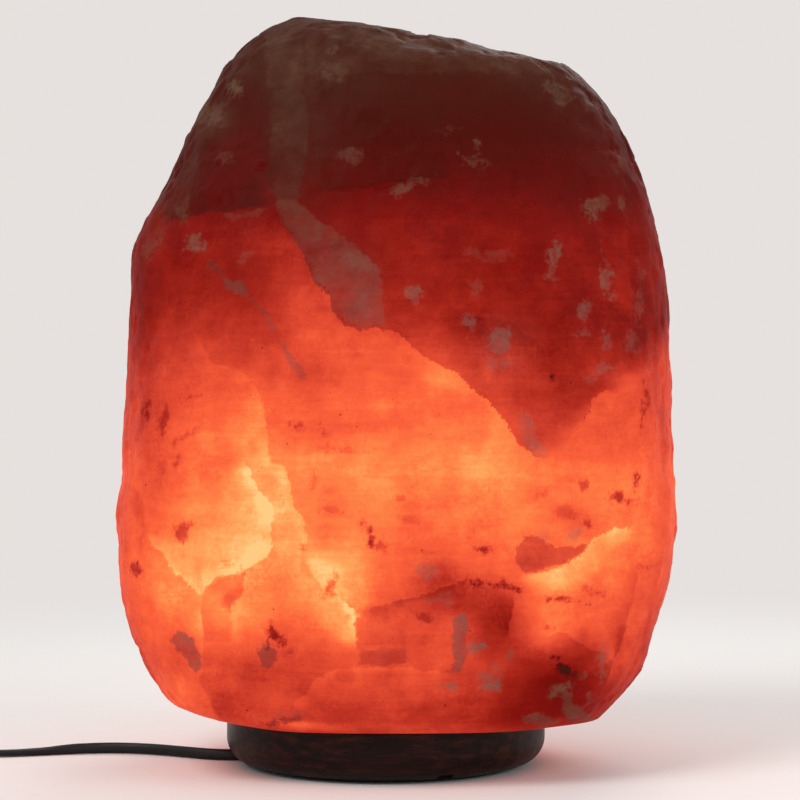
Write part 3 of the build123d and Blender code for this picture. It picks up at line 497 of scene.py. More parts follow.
# short dark inclusions of clay: place, half width and height, turn, share of full dark
INCLUSIONS = [
    ((146, 409), 2.5, 8, 12, 0.6), ((163, 422), 3, 11, 10, 0.5), ((192, 397), 8, 2, -12, 0.6),
    ((184, 437), 6, 2, -35, 0.6), ((178, 460), 2.5, 7, 20, 0.5), ((161, 468), 5, 8, 0, 0.25),
    ((182, 531), 7, 9, 0, 0.75), ((189, 524), 3, 4, 30, 0.6), ((136, 569), 5, 6, 0, 0.8),
    ((297, 426), 4, 1.6, 10, 0.6), ((324, 434), 5, 3, 40, 0.4), ((349, 451), 16, 4, 4, 0.3),
    ((312, 484), 3, 8, 20, 0.3), ((330, 510), 11, 3.5, 6, 0.35), ((362, 523), 3, 4, 10, 0.7),
    ((371, 529), 3, 2.6, 0, 0.9), ((371, 541), 2, 3.4, 0, 1.1), ((381, 545), 4, 4, 30, 0.6),
    ((402, 499), 4, 3, 0, 0.3), ((410, 520), 9, 4, 10, 0.25), ((471, 533), 3, 5, 20, 0.5),
    ((483, 549), 4.5, 2, 12, 0.9), ((538, 495), 7, 2.4, -24, 0.4), ((584, 485), 4, 4.5, 30, 0.6),
    ((617, 497), 4, 3.4, 0, 0.9), ((630, 502), 4.5, 3, 10, 0.8), ((636, 482), 1.6, 4, 8, 1.1),
    ((588, 523), 4, 3, 20, 0.6), ((569, 513), 13, 6, 8, 0.3), ((475, 583), 5, 2.2, 10, 1.0),
    ((498, 585), 10, 2, 4, 0.9), ((515, 589), 7, 2.6, 25, 0.9), ((563, 600), 11, 1.8, 6, 0.9),
    ((580, 603), 6, 1.6, 10, 0.7), ((598, 592), 10, 3, 14, 0.6), ((649, 568), 3, 1.6, 0, 0.7),
    ((273, 634), 3, 5, -20, 1.0), ((281, 641), 2.6, 3.6, 20, 0.9), ((268, 648), 4, 4, 0, 0.6),
    ((229, 603), 5, 9, 0, 0.25), ((226, 563), 4, 3, 30, 0.35), ((222, 670), 5, 10, 10, 0.1),
    ((565, 669), 7, 3.4, 20, 1.1), ((553, 656), 4, 2, 0, 0.8), ((425, 617), 8, 4, 8, 0.5),
    ((398, 602), 6, 3, 0, 0.2), ((345, 675), 10, 8, 0, 0.2), ((642, 415), 1.6, 10, 8, 0.6),
    ((645, 392), 1.6, 8, -8, 0.5), ((553, 375), 2, 2, 0, 1.0), ((329, 589), 4, 8, 30, 0.7),
    ((304, 549), 2, 3, 0, 0.6), ((280, 722), 12, 3, -8, 0.6), ((549, 628), 4, 2, 0, 0.5),
    ((248, 571), 3, 1.6, 0, 0.5), ((466, 700), 14, 4, 0, 0.15), ((620, 640), 3, 14, 6, 0.2),
    ((396, 335), 2, 1.6, 0, 0.9), ((375, 205), 1.6, 1.6, 0, -0.5), ((290, 652), 4, 3, 0, 0.3),
]

# ledges, whose edge is sharp: a line, how far the change fades to its right (px), change of
# glow, relief (mm)
LEDGES = [
    ([(274, 204), (264, 207), (234, 211), (192, 214), (160, 226)], 60, -0.12, 0.6),
    ([(253, 380), (260, 402), (265, 422), (267, 445), (270, 461), (284, 466), (288, 476),
      (290, 492), (293, 506), (303, 520), (305, 532), (307, 545), (303, 556)], 34, 0.06, -1.2),
    ([(300, 552), (314, 575), (322, 586), (330, 594), (342, 602)], 26, -0.07, 0.8),
    ([(332, 596), (343, 602), (355, 611), (356, 628), (355, 652)], 40, 0.18, -1.6),
    ([(242, 455), (255, 485), (266, 497), (272, 506), (273, 530), (272, 548), (268, 558),
      (253, 564), (243, 572), (219, 577), (205, 589), (200, 604), (194, 592), (177, 575),
      (165, 560), (153, 546), (144, 530)], 30, 0.10, -1.0),
    ([(200, 600), (201, 625), (201, 648), (199, 679), (211, 709), (222, 722)], 26, 0.05, -0.8),
    ([(243, 573), (244, 594), (233, 602), (230, 616)], 22, -0.08, 0.6),
    ([(516, 574), (525, 575), (540, 573), (567, 564), (586, 552), (594, 538), (617, 528), (640, 525)],
     30, 0.14, -1.4),
    ([(512, 590), (514, 604), (511, 620), (506, 642)], 22, -0.12, 0.8),
    ([(455, 178), (437, 177), (400, 183), (360, 188), (310, 192)], 30, -0.07, 0.4),
    ([(290, 716), (295, 706), (314, 682), (337, 669), (379, 667), (406, 667), (450, 674)], 30, 0.06, -0.4),
    ([(594, 92), (612, 130), (624, 180), (630, 240), (633, 300), (630, 380)], 26, 0.03, 0.6),
    ([(196, 335), (212, 362), (240, 372), (256, 384)], 24, 0.05, -0.5),
    ([(300, 461), (305, 456), (325, 451), (347, 447)], 26, 0.06, -0.3),
    ([(356, 612), (384, 604), (420, 596), (450, 585), (470, 582)], 30, -0.09, 0.6),
    ([(520, 560), (500, 548), (470, 560), (440, 552), (400, 566)], 22, -0.03, 0.3),
    ([(640, 560), (634, 600), (622, 640), (602, 690)], 20, -0.07, 0.5),
    ([(540, 640), (562, 632), (590, 650), (612, 655)], 26, -0.08, 0.4),
    ([(130, 480), (142, 500), (146, 530), (140, 560)], 18, -0.06, 0.4),
    ([(440, 300), (470, 316), (510, 322), (545, 350)], 24, -0.04, 0.3),
]

# the great dark face over the pointed ledge
DARK_FACE = [
    (272, 120), (668, 120), (672, 280), (670, 380), (625, 392), (600, 392), (592, 403), (584, 422),
    (573, 437), (557, 458), (553, 468), (546, 459), (533, 455), (517, 441), (502, 416), (487, 399),
    (469, 386), (456, 373), (437, 364), (418, 350), (395, 333), (376, 328), (364, 331), (345, 325),
    (332, 310), (330, 295), (314, 283), (309, 268), (299, 245), (282, 222), (274, 205),
]
FACE_RISE = 3.6
FACE_RUNOUT = 305.0  # height above the seat where the face no longer stands proud
FACE_SLOPE = 0.042
FACE_DEPTH = 112.0  # the rise is full where the rock is this deep

# patches with sharp edges: outline, change of glow, relief (mm), haze of grey mineral
PATCHES = [
    # grey band along the dark face, and its branches
    ([(274, 205), (282, 222), (299, 245), (309, 268), (314, 283), (330, 295), (332, 310),
      (345, 325), (364, 331), (376, 328), (384, 328), (385, 317), (381, 302), (382, 279),
      (377, 264), (360, 251), (337, 233), (314, 216), (291, 197), (280, 196)], 0.0, 0.7, 0.42),
    ([(265, 33), (303, 33), (304, 86), (265, 87)], 0.0, 0.5, 0.14),
    ([(272, 87), (300, 87), (310, 120), (309, 140), (300, 200), (280, 204), (264, 184), (261, 176),
      (267, 164), (272, 130), (268, 110)], -0.03, 0.5, 0.12),
    ([(307, 78), (345, 77), (372, 73), (437, 74), (521, 73), (560, 78), (590, 96), (560, 70),
      (520, 52), (470, 42), (430, 30), (380, 22), (330, 24), (306, 40)], 0.0, 0.4, 0.12),
    ([(207, 260), (215, 260), (226, 279), (242, 281), (253, 298), (268, 314), (278, 333),
      (288, 352), (303, 367), (307, 379), (301, 380), (291, 367), (284, 352), (276, 333),
      (265, 316), (253, 308), (242, 295), (228, 289), (222, 275), (211, 270)], -0.05, 0.5, 0.50),
    ([(517, 412), (529, 414), (537, 440), (547, 452), (545, 459), (532, 455), (522, 437)], 0, 0.4, 0.60),
    ([(222, 216), (240, 213), (262, 207), (268, 209), (256, 217), (236, 221)], 0.0, 0.3, 0.30),
    # dark recess low on the right, and the deep red beside it
    ([(515, 564), (517, 548), (529, 533), (544, 542), (559, 546), (590, 545), (586, 551), (567, 562),
      (540, 571), (525, 572)], -0.15, -1.8, 0.10),
    # broken cubes
    ([(356, 611), (372, 606), (388, 609), (390, 626), (404, 628), (406, 645), (357, 647)], -0.03, 0.8, 0.03),
    ([(360, 650), (374, 649), (404, 648), (407, 662), (384, 667), (359, 664)], -0.07, 0.6, 0.15),
    ([(205, 589), (219, 578), (243, 573), (243, 594), (232, 603), (230, 640), (203, 640), (201, 606)],
     -0.05, 0.6, 0.0),
    ([(277, 466), (284, 467), (288, 477), (291, 493), (293, 507), (303, 521), (305, 533), (306, 545),
      (300, 556), (276, 554), (274, 530), (273, 505)], 0.02, -0.6, 0.0),
    # minerals low down
    ([(456, 617), (465, 615), (467, 629), (465, 648), (467, 659), (458, 675), (446, 671), (454, 659),
      (452, 644)], -0.08, 0.5, 0.70),
    ([(169, 640), (180, 631), (192, 640), (200, 668), (192, 672), (180, 656)], -0.12, -0.5, 0.60),
    ([(258, 650), (266, 640), (276, 650), (272, 668), (260, 668)], -0.12, -0.5, 0.55),
    ([(520, 716), (540, 714), (560, 722), (544, 726), (524, 724)], -0.02, 0.4, 0.75),
    ([(562, 690), (571, 692), (574, 704), (590, 714), (592, 722), (566, 722), (562, 708)], -0.02, 0.5, 0.75),
]

# spots of the same grey mineral: place, half width and height, turn, haze
MINERALS = [
    ((194, 241), 9, 8, 0, 0.75), ((247, 258), 8, 4, -30, 0.35), ((414, 293), 6, 7, 0, 0.65),
    ((402, 187), 14, 5, -14, 0.50), ((592, 207), 8, 11, -20, 0.85), ((604, 203), 6, 4, 30, 0.60),
    ((622, 203), 3, 5, 0, 0.60), ((555, 256), 7, 10, 10, 0.75), ((553, 274), 4, 7, 0, 0.60),
    ((607, 284), 3.4, 15, -8, 0.75), ((582, 310), 7, 6, 0, 0.60), ((584, 333), 5, 3, 0, 0.40),
    ((607, 337), 3, 6, -10, 0.65), ((498, 342), 11, 15, 14, 0.62), ((500, 365), 8, 6, 0, 0.40),
    ((467, 321), 8, 9, 30, 0.50), ((475, 287), 7, 5, 0, 0.30), ((492, 256), 18, 4, 4, 0.22),
    ((632, 344), 8, 10, 20, 0.35), ((607, 369), 6, 4, 0, 0.55), ((590, 379), 4, 3, 0, 0.40),
    ((234, 88), 7, 7, 0, 0.75), ((211, 115), 13, 9, -30, 0.35), ((226, 157), 7, 5, 0, 0.30),
    ((353, 157), 11, 6, 20, 0.35), ((477, 147), 3.4, 5, 0, 0.50), ((473, 161), 8, 3, 20, 0.40),
    ((330, 72), 18, 7, 0, 0.35), ((333, 48), 4, 5, 0, 0.45), ((559, 92), 14, 8, 30, 0.45),
    ((590, 103), 7, 5, 20, 0.35), ((532, 61), 10, 5, 10, 0.35), ((350, 262), 14, 20, -40, 0.20),
    ((429, 571), 10, 9, 0, 0.50), ((479, 646), 8, 5, 10, 1.1), ((450, 684), 8, 4, 12, 0.9),
    ((494, 683), 11, 5, -8, 1.0), ((486, 676), 4, 2, 30, 0.80), ((502, 675), 5, 3, -20, 0.70),
    ((494, 665), 3, 2, 0, 0.70), ((511, 655), 2.6, 5, 0, 0.90), ((601, 665), 2.6, 9, 6, 0.70),
    ((586, 675), 3, 2, 0, 0.60), ((559, 690), 9, 6, -10, 0.90), ((588, 698), 2, 3, 0, 0.70),
    ((576, 533), 6, 7, 20, 0.55), ((280, 719), 14, 4, -6, 0.50), ((545, 536), 5, 6, 0, 0.25),
    ((440, 600), 9, 4, 0, 0.35), ((640, 300), 3, 16, 4, 0.35), ((150, 246), 5, 14, 30, 0.35),
    ((181, 210), 6, 9, 30, 0.35), ((619, 165), 5, 9, 20, 0.30), ((443, 130), 9, 4, 0, 0.16),
]


def oval(places, middle, wide, high, turn):
    """Squared distance from the middle of an oval, 1 at its edge."""
    x, y = (places - np.array(middle)).T
    cosine, sine = math.cos(math.radians(turn)), math.sin(math.radians(turn))
    return ((x * cosine + y * sine) / wide) ** 2 + ((y * cosine - x * sine) / high) ** 2


def end_distance(places, line):
    """How far the nearest point of a line is from the line's nearer end, along it."""
    best, along = np.full(len(places), FAR), np.zeros(len(places))
    run_length = 0.0
    for a, b in zip(line, line[1:]):
        a, b = np.array(a, float), np.array(b, float)
        run = b - a
        share = np.clip(((places - a) @ run) / (run @ run), 0, 1)
        distance = np.linalg.norm(places - (a + share[:, None] * run), axis=1)
        closer = distance < best
        along = np.where(closer, run_length + share * np.linalg.norm(run), along)
        best = np.where(closer, distance, best)
        run_length += np.linalg.norm(run)
    return np.minimum(along, run_length - along)


def ovals(seen, rows):
    """Small ovals, each as (distance inside its edge in tens of pixels, its value)."""
    for middle, wide, high, turn, value in rows:
        yield (1 - np.sqrt(oval(seen, middle, wide, high, turn))) * min(wide, high) / EDGE_UNIT, value


def soft_patches(seen, rows):
    """The sum of soft oval patches."""
    return sum(
        change * np.exp(-oval(seen, middle, wide, high, turn) * PATCH_FALL)
        for middle, wide, high, turn, change in rows
    )


def innermost(shapes, count):
    """For each point the distance inside the shape that it lies deepest in, and that shape's
    values; shapes are (distance inside, value, ...)."""
    edge, kept = np.full(count, OUTSIDE), None
    for inside, *values in shapes:
        closer = inside > edge
        edge = np.where(closer, inside, edge)
        kept = [np.where(closer, value, old) for value, old in zip(values, kept or [0.0] * len(values))]
    return edge, *kept


def rock_features(points):
    """What shows at points on the rock's smooth form: a dictionary of arrays. The names that
    end in _edge are distances from sharp edges, in tens of pixels, over 0 inside; the
    material cuts them off with a torn line."""
    count, seen = len(points), seen_from_front(points)
    across, down = seen.T
    front = eased(-points[:, 1], -12, 14)
    heights, levels = zip(*GLOW_DOWN)
    glow = np.interp(down + 8 * lumps(points, 70, 7, 2), heights, levels)
    glow += 0.04 * lumps(points, 45, 8, 3) * eased(glow, 0.1, 0.5)
    glow += front * soft_patches(seen, GLOW_BLOBS)
    # grey haze along the top: partly mineral, partly a painted sheen
    haze = 0.16 * eased(88 - down + 30 * lumps(points, 40, 9, 3), 0, 60)
    haze += front * soft_patches(seen, HAZE_AND_SHEEN_BLOBS)
    relief = np.zeros(count)

    # a point takes the glow of its nearest ledge, and less of it where a second is as near
    nearest, second = np.full(count, FAR), np.full(count, FAR)
    ledge_edge, ledge_glow = np.full(count, OUTSIDE), np.zeros(count)
    for line, fade, change, depth in LEDGES:
        signed = line_distance(seen, line)
        distance = np.abs(signed)
        faded = eased(end_distance(seen, line), 0, LEDGE_END) * np.exp(-distance / fade * LEDGE_FALL)
        relief += front * depth * faded * eased(signed, -RELIEF_STEP, RELIEF_STEP)
        closer = distance < nearest
        second = np.where(closer, nearest, np.minimum(second, distance))
        ledge_edge = np.where(closer, signed / EDGE_UNIT, ledge_edge)
        ledge_glow = np.where(closer, change * faded, ledge_glow)
        nearest = np.where(closer, distance, nearest)
    ledge_glow *= front * eased((second - nearest) / (second + nearest), 0.0, 0.35)

    patches = []
    for outline, change, depth, veil in PATCHES:
        inside = line_distance(seen, outline, closed=True)
        relief += front * depth * eased(inside, -RELIEF_STEP, RELIEF_STEP)
        patches.append((inside / EDGE_UNIT, change, veil))
    patch_edge, patch_glow, patch_haze = innermost(patches, count)
    spot_edge, spot_haze = innermost(ovals(seen, MINERALS), count)
    clay_edge, clay_share = innermost(ovals(seen, INCLUSIONS), count)

    # light runs along the foot of the great face, and the face itself is darker to the right
    face = line_distance(seen, DARK_FACE, closed=True)
    lit_foot = 0.11 * np.exp(-np.abs(face) / 42) * eased(down, 200, 260) * eased(560 - across, 0, 100)
    drop = 0.03 + 0.18 * eased(across, 400, 600) * eased(down, 230, 340) + lit_foot
    drop *= front * eased(down, 185, 230)
    drop *= eased(415 - down + (590 - across) * 0.9, -16, 32)
    # the great face stands proud, as the solid's does
    rise = np.clip(FACE_SLOPE * (FACE_RUNOUT + SEAT_HEIGHT - points[:, 2]), 0, FACE_RISE)
    rise *= front * eased(face, -2.5, 1.5) * np.clip(np.abs(points[:, 1]) / FACE_DEPTH, 0, 1)
    return {
        "glow": glow + front * lit_foot, "haze": haze, "relief": relief, "front": front, "seen": seen,
        "proud": rise, "ledge_edge": ledge_edge, "ledge_glow": ledge_glow,
        "patch_edge": patch_edge, "patch_glow": front * patch_glow, "patch_haze": front * patch_haze,
        "spot_edge": spot_edge, "spot_haze": front * spot_haze,
        "clay_edge": clay_edge, "clay_share": front * clay_share,
        "face_edge": face / EDGE_UNIT, "face_drop": drop,
        "limb": eased(np.abs(points[:, 0] - 4), 118, 142),
    }


def rock_patches_all_round(points, marks):
    """Broken faces, grey minerals and clay where nothing is drawn."""
    rest = 1 - marks["front"]
    cells = np.random.RandomState(21)
    angles = cells.uniform(0, 2 * math.pi, BROKEN_FACES)
    heights = cells.uniform(30, 400, BROKEN_FACES)
    middles = np.stack([150 * np.cos(angles), 115 * np.sin(angles), heights], axis=1)
    change = cells.uniform(-0.14, 0.10, BROKEN_FACES)
    depth = cells.uniform(-2.0, 2.0, BROKEN_FACES)
    warped = points + 6 * np.stack([lumps(points, 24, seed, 2) for seed in (31, 32, 33)], axis=1)
    distance = np.linalg.norm(warped[:, None, :] - middles[None], axis=2)
    own, other = np.argsort(distance, axis=1)[:, :2].T
    rows = np.arange(len(points))
    gap = distance[rows, other] - distance[rows, own]
    share = 0.5 + 0.5 * eased(gap, 0, 5)
    marks["relief"] += (0.2 + 0.8 * rest) * (depth[own] * share + depth[other] * (1 - share))
    marks["glow"] -= rest * 0.12 * eased(lumps(points, 42, 43, 2), 0.3, 1.0)
    lit = np.abs(change[own] - change[other]) * np.exp(-gap / 26)
    band = np.abs(lumps(points * (1, 1, 0.5), 60, 46, 2))
    broken = 1.2 * eased(lumps(points, 26, 47, 2), -0.1, 0.5)
    scattered = {
        # the brighter of two broken faces ends in a sharp edge against the other
        "ledge_edge": gap / EDGE_UNIT * np.where(change[own] > change[other], 1, -1),
        "ledge_glow": rest * lit,
        "spot_edge": lumps(points, 24, 41, 3) + 0.3 * lumps(points, 7, 42, 2) - 0.75,
        "spot_haze": 0.55 * rest,
        "clay_edge": lumps(points, 9, 44, 2) * eased(lumps(points, 50, 45, 1), 0.1, 0.6) - 0.75,
        "clay_share": 0.7 * rest,
        # bands of the same grey as the spots
        "patch_edge": broken - 0.5 - band * 9,
        "patch_haze": 0.28 * rest,
        "patch_glow": -0.04 * rest,
    }
    drawn = marks["front"] > 0.5
    for name, value in scattered.items():
        marks[name] = np.where(drawn, marks[name], value)


def broken_relief(points, marks):
    """Adds to the relief what is finer than its drawn forms, and shades the glow after it."""
    glow, relief = marks["glow"], marks["relief"]
    # the glow's limbs are darker, low down, where the rock turns away from the bulb
    turned = eased(np.abs(points[:, 0] - 6) / 150, 0.72, 1.02)
    glow -= 0.10 * (turned * eased(marks["seen"][:, 1], 380, 450))
    # cleavage: the salt breaks in small flat steps, so part of the relief is rounded to steps
    steps = 1.1 * lumps(points * (1, 1, 1.5), 34, 51, 2) + 0.3 * lumps(points, 9, 52, 2)
    step = steps / CLEAVAGE_STEP
    stepped = np.floor(step) * CLEAVAGE_STEP + CLEAVAGE_STEP * eased(step % 1, 0.6, 1.0)
    relief += 0.7 * stepped + 0.10 * lumps(points, 4, 53, 1) + 0.5 * lumps(points, 13, 55, 2)
    relief -= 1.3 * eased(lumps(points, 30, 54, 2), 0.35, 1.0)
    # chips with a crisp rim
    relief -= 1.1 * eased(lumps(points, 13, 57, 2), 0.42, 0.62)
    # the upper half is picked over in small bites, which roughen its outline
    upper = eased(points[:, 2], 230, 290)
    relief -= 1.0 * upper * eased(lumps(points, 9, 58, 2), 0.1, 0.5)
    # all of it dies out at the sawn seat, and half of it at the very top
    above_seat = eased(points[:, 2], SEAT_HEIGHT, SEAT_HEIGHT + 5)
    relief *= above_seat * (1 - 0.5 * eased(points[:, 2], 386, 399))
    glow += 0.03 * np.clip(-relief / 2, -1, 1) * eased(glow, 0.2, 0.6)
    glow -= 0.10 * (1 - above_seat) * (1 - marks["front"])


def lathe(profile, segments):
    """Points and faces of a turned skin about Z; profile is (radius, height), open ends."""
    points, faces, rings = [], [], []
    for radius, height in profile:
        if radius < 1e-6:
            rings.append([len(points)] * segments)
            points.append((0.0, 0.0, height))
            continue
        rings.append(list(range(len(points), len(points) + segments)))
        for i in range(segments):
            angle = 2 * math.pi * i / segments
            points.append((radius * math.cos(angle), radius * math.sin(angle), height))
    for low, high in zip(rings, rings[1:]):
        for i in range(segments):
            j = (i + 1) % segments
            corners = [low[i], low[j], high[j], high[i]]
            faces.append(list(dict.fromkeys(corners)))
    return points, faces


def bored_rock(points, faces, marks, columns):
    """The rock's skin with its cavity and plug holes, closed at the seat; its first points are
    the seat's rim, and the marks are kept as attributes."""
    rock = bmesh.new()
    for name in ROCK_MARKS:
        rock.verts.layers.float.new(name)
    verts = [rock.verts.new(point) for point in (points * MM).tolist()]
    for name in ROCK_MARKS:
        layer = rock.verts.layers.float[name]
        for vert, value in zip(verts, marks[name].tolist()):
            vert[layer] = value
    for face in faces:
        rock.faces.new([verts[i] for i in face])
    glow = rock.verts.layers.float["glow"]
    loops = [verts[:columns]]
    for centre, profile, segments in rock_bores():
        ring_points, ring_faces = lathe(profile, segments)
        bore = [
            rock.verts.new(((x + centre[0]) * MM, (y + centre[1]) * MM, z * MM))
            for x, y, z in ring_points
        ]
        for vert in bore:
            vert[glow] = 1.0
        for face in ring_faces:
            rock.faces.new([bore[i] for i in reversed(face)])
        loops.append(bore[:segments])
    rock.edges.index_update()
    rim_edges = []
    for loop in loops:
        for a, b in zip(loop, loop[1:] + loop[:1]):
            rim_edges.append(rock.edges.get((a, b)) or rock.edges.new((a, b)))
    filled = bmesh.ops.triangle_fill(
        rock, edges=rim_edges, use_beauty=True, use_dissolve=False, normal=(0, 0, -1)
    )
    for piece in filled["geom"]:
        if isinstance(piece, bmesh.types.BMFace) and piece.normal.z > 0:
            piece.normal_flip()
    return mesh_from_shell("salt_rock", rock)


def rock_mesh(columns_front, columns_back, rows):
    """The rock, broken and bored, with its glow, haze (grey mineral and painted sheen) and inclusions as
    attributes.
    """
    grid = rock_grid(columns_front, columns_back, rows)
    columns = columns_front + columns_back
    points = np.vstack([grid[:-1].reshape(-1, 3), grid[-1].mean(axis=0)[None]])
    index = np.arange((rows - 1) * columns).reshape(rows - 1, columns)
    after = np.roll(index, -1, axis=1)
    faces = np.stack([index[:-1], after[:-1], after[1:], index[1:]], axis=-1).reshape(-1, 4).tolist()
    pole = len(points) - 1
    faces += [[int(index[-1, i]), int(after[-1, i]), pole] for i in range(columns)]

    smooth = mesh_of("rock_smooth", points, faces)
    normals = np.empty(len(points) * 3)
    smooth.vertices.foreach_get("normal", normals)
    bpy.data.meshes.remove(smooth)

    marks = rock_features(points)
    rock_patches_all_round(points, marks)
    broken_relief(points, marks)
    moved = points + normals.reshape(-1, 3) * marks["relief"][:, None]
    moved[:, 1] -= marks["proud"]
    moved[:, 2] = np.clip(moved[:, 2], SEAT_HEIGHT, ROCK_TOP)
    moved[:columns] = points[:columns]
    return bored_rock(moved, faces, marks, columns)


def rock_bores():
    """The bulb's cavity and the three plug holes: centre, profile from below, segments."""
    spring = CAVITY_TOP - CAVITY_RADIUS
    dome = [
        (CAVITY_RADIUS * math.cos(angle), spring + CAVITY_RADIUS * math.sin(angle))
        for angle in np.linspace(0, math.pi / 2, 12)
    ]
    dome[-1] = (0.0, CAVITY_TOP)
    wall = [(CAVITY_RADIUS, height) for height in np.linspace(SEAT_HEIGHT, spring, 12)]
    bores = [((0.0, 0.0), wall + dome[1:], 64)]
    hole = [(PLUG_HOLE_RADIUS, SEAT_HEIGHT), (PLUG_HOLE_RADIUS, PLUG_HOLE_TOP), (0.0, PLUG_HOLE_TOP)]
    for radius, angle in PLUG_HOLES:
        turn = math.radians(angle)
        bores.append(((radius * math.cos(turn), radius * math.sin(turn)), hole, 20))
    return bores


# the lit salt's colours, from the darkest glow to the brightest
GLOW_COLOURS = [
    (0.0, "3C170B"), (0.15, "4C0A04"), (0.25, "640906"), (0.35, "800E08"), (0.45, "A22013"),
    (0.55, "C23423"), (0.65, "E44B30"), (0.75, "FC6139"), (0.85, "FE8447"), (0.93, "FEA65C"),
    (1.0, "FFCB82"),
]


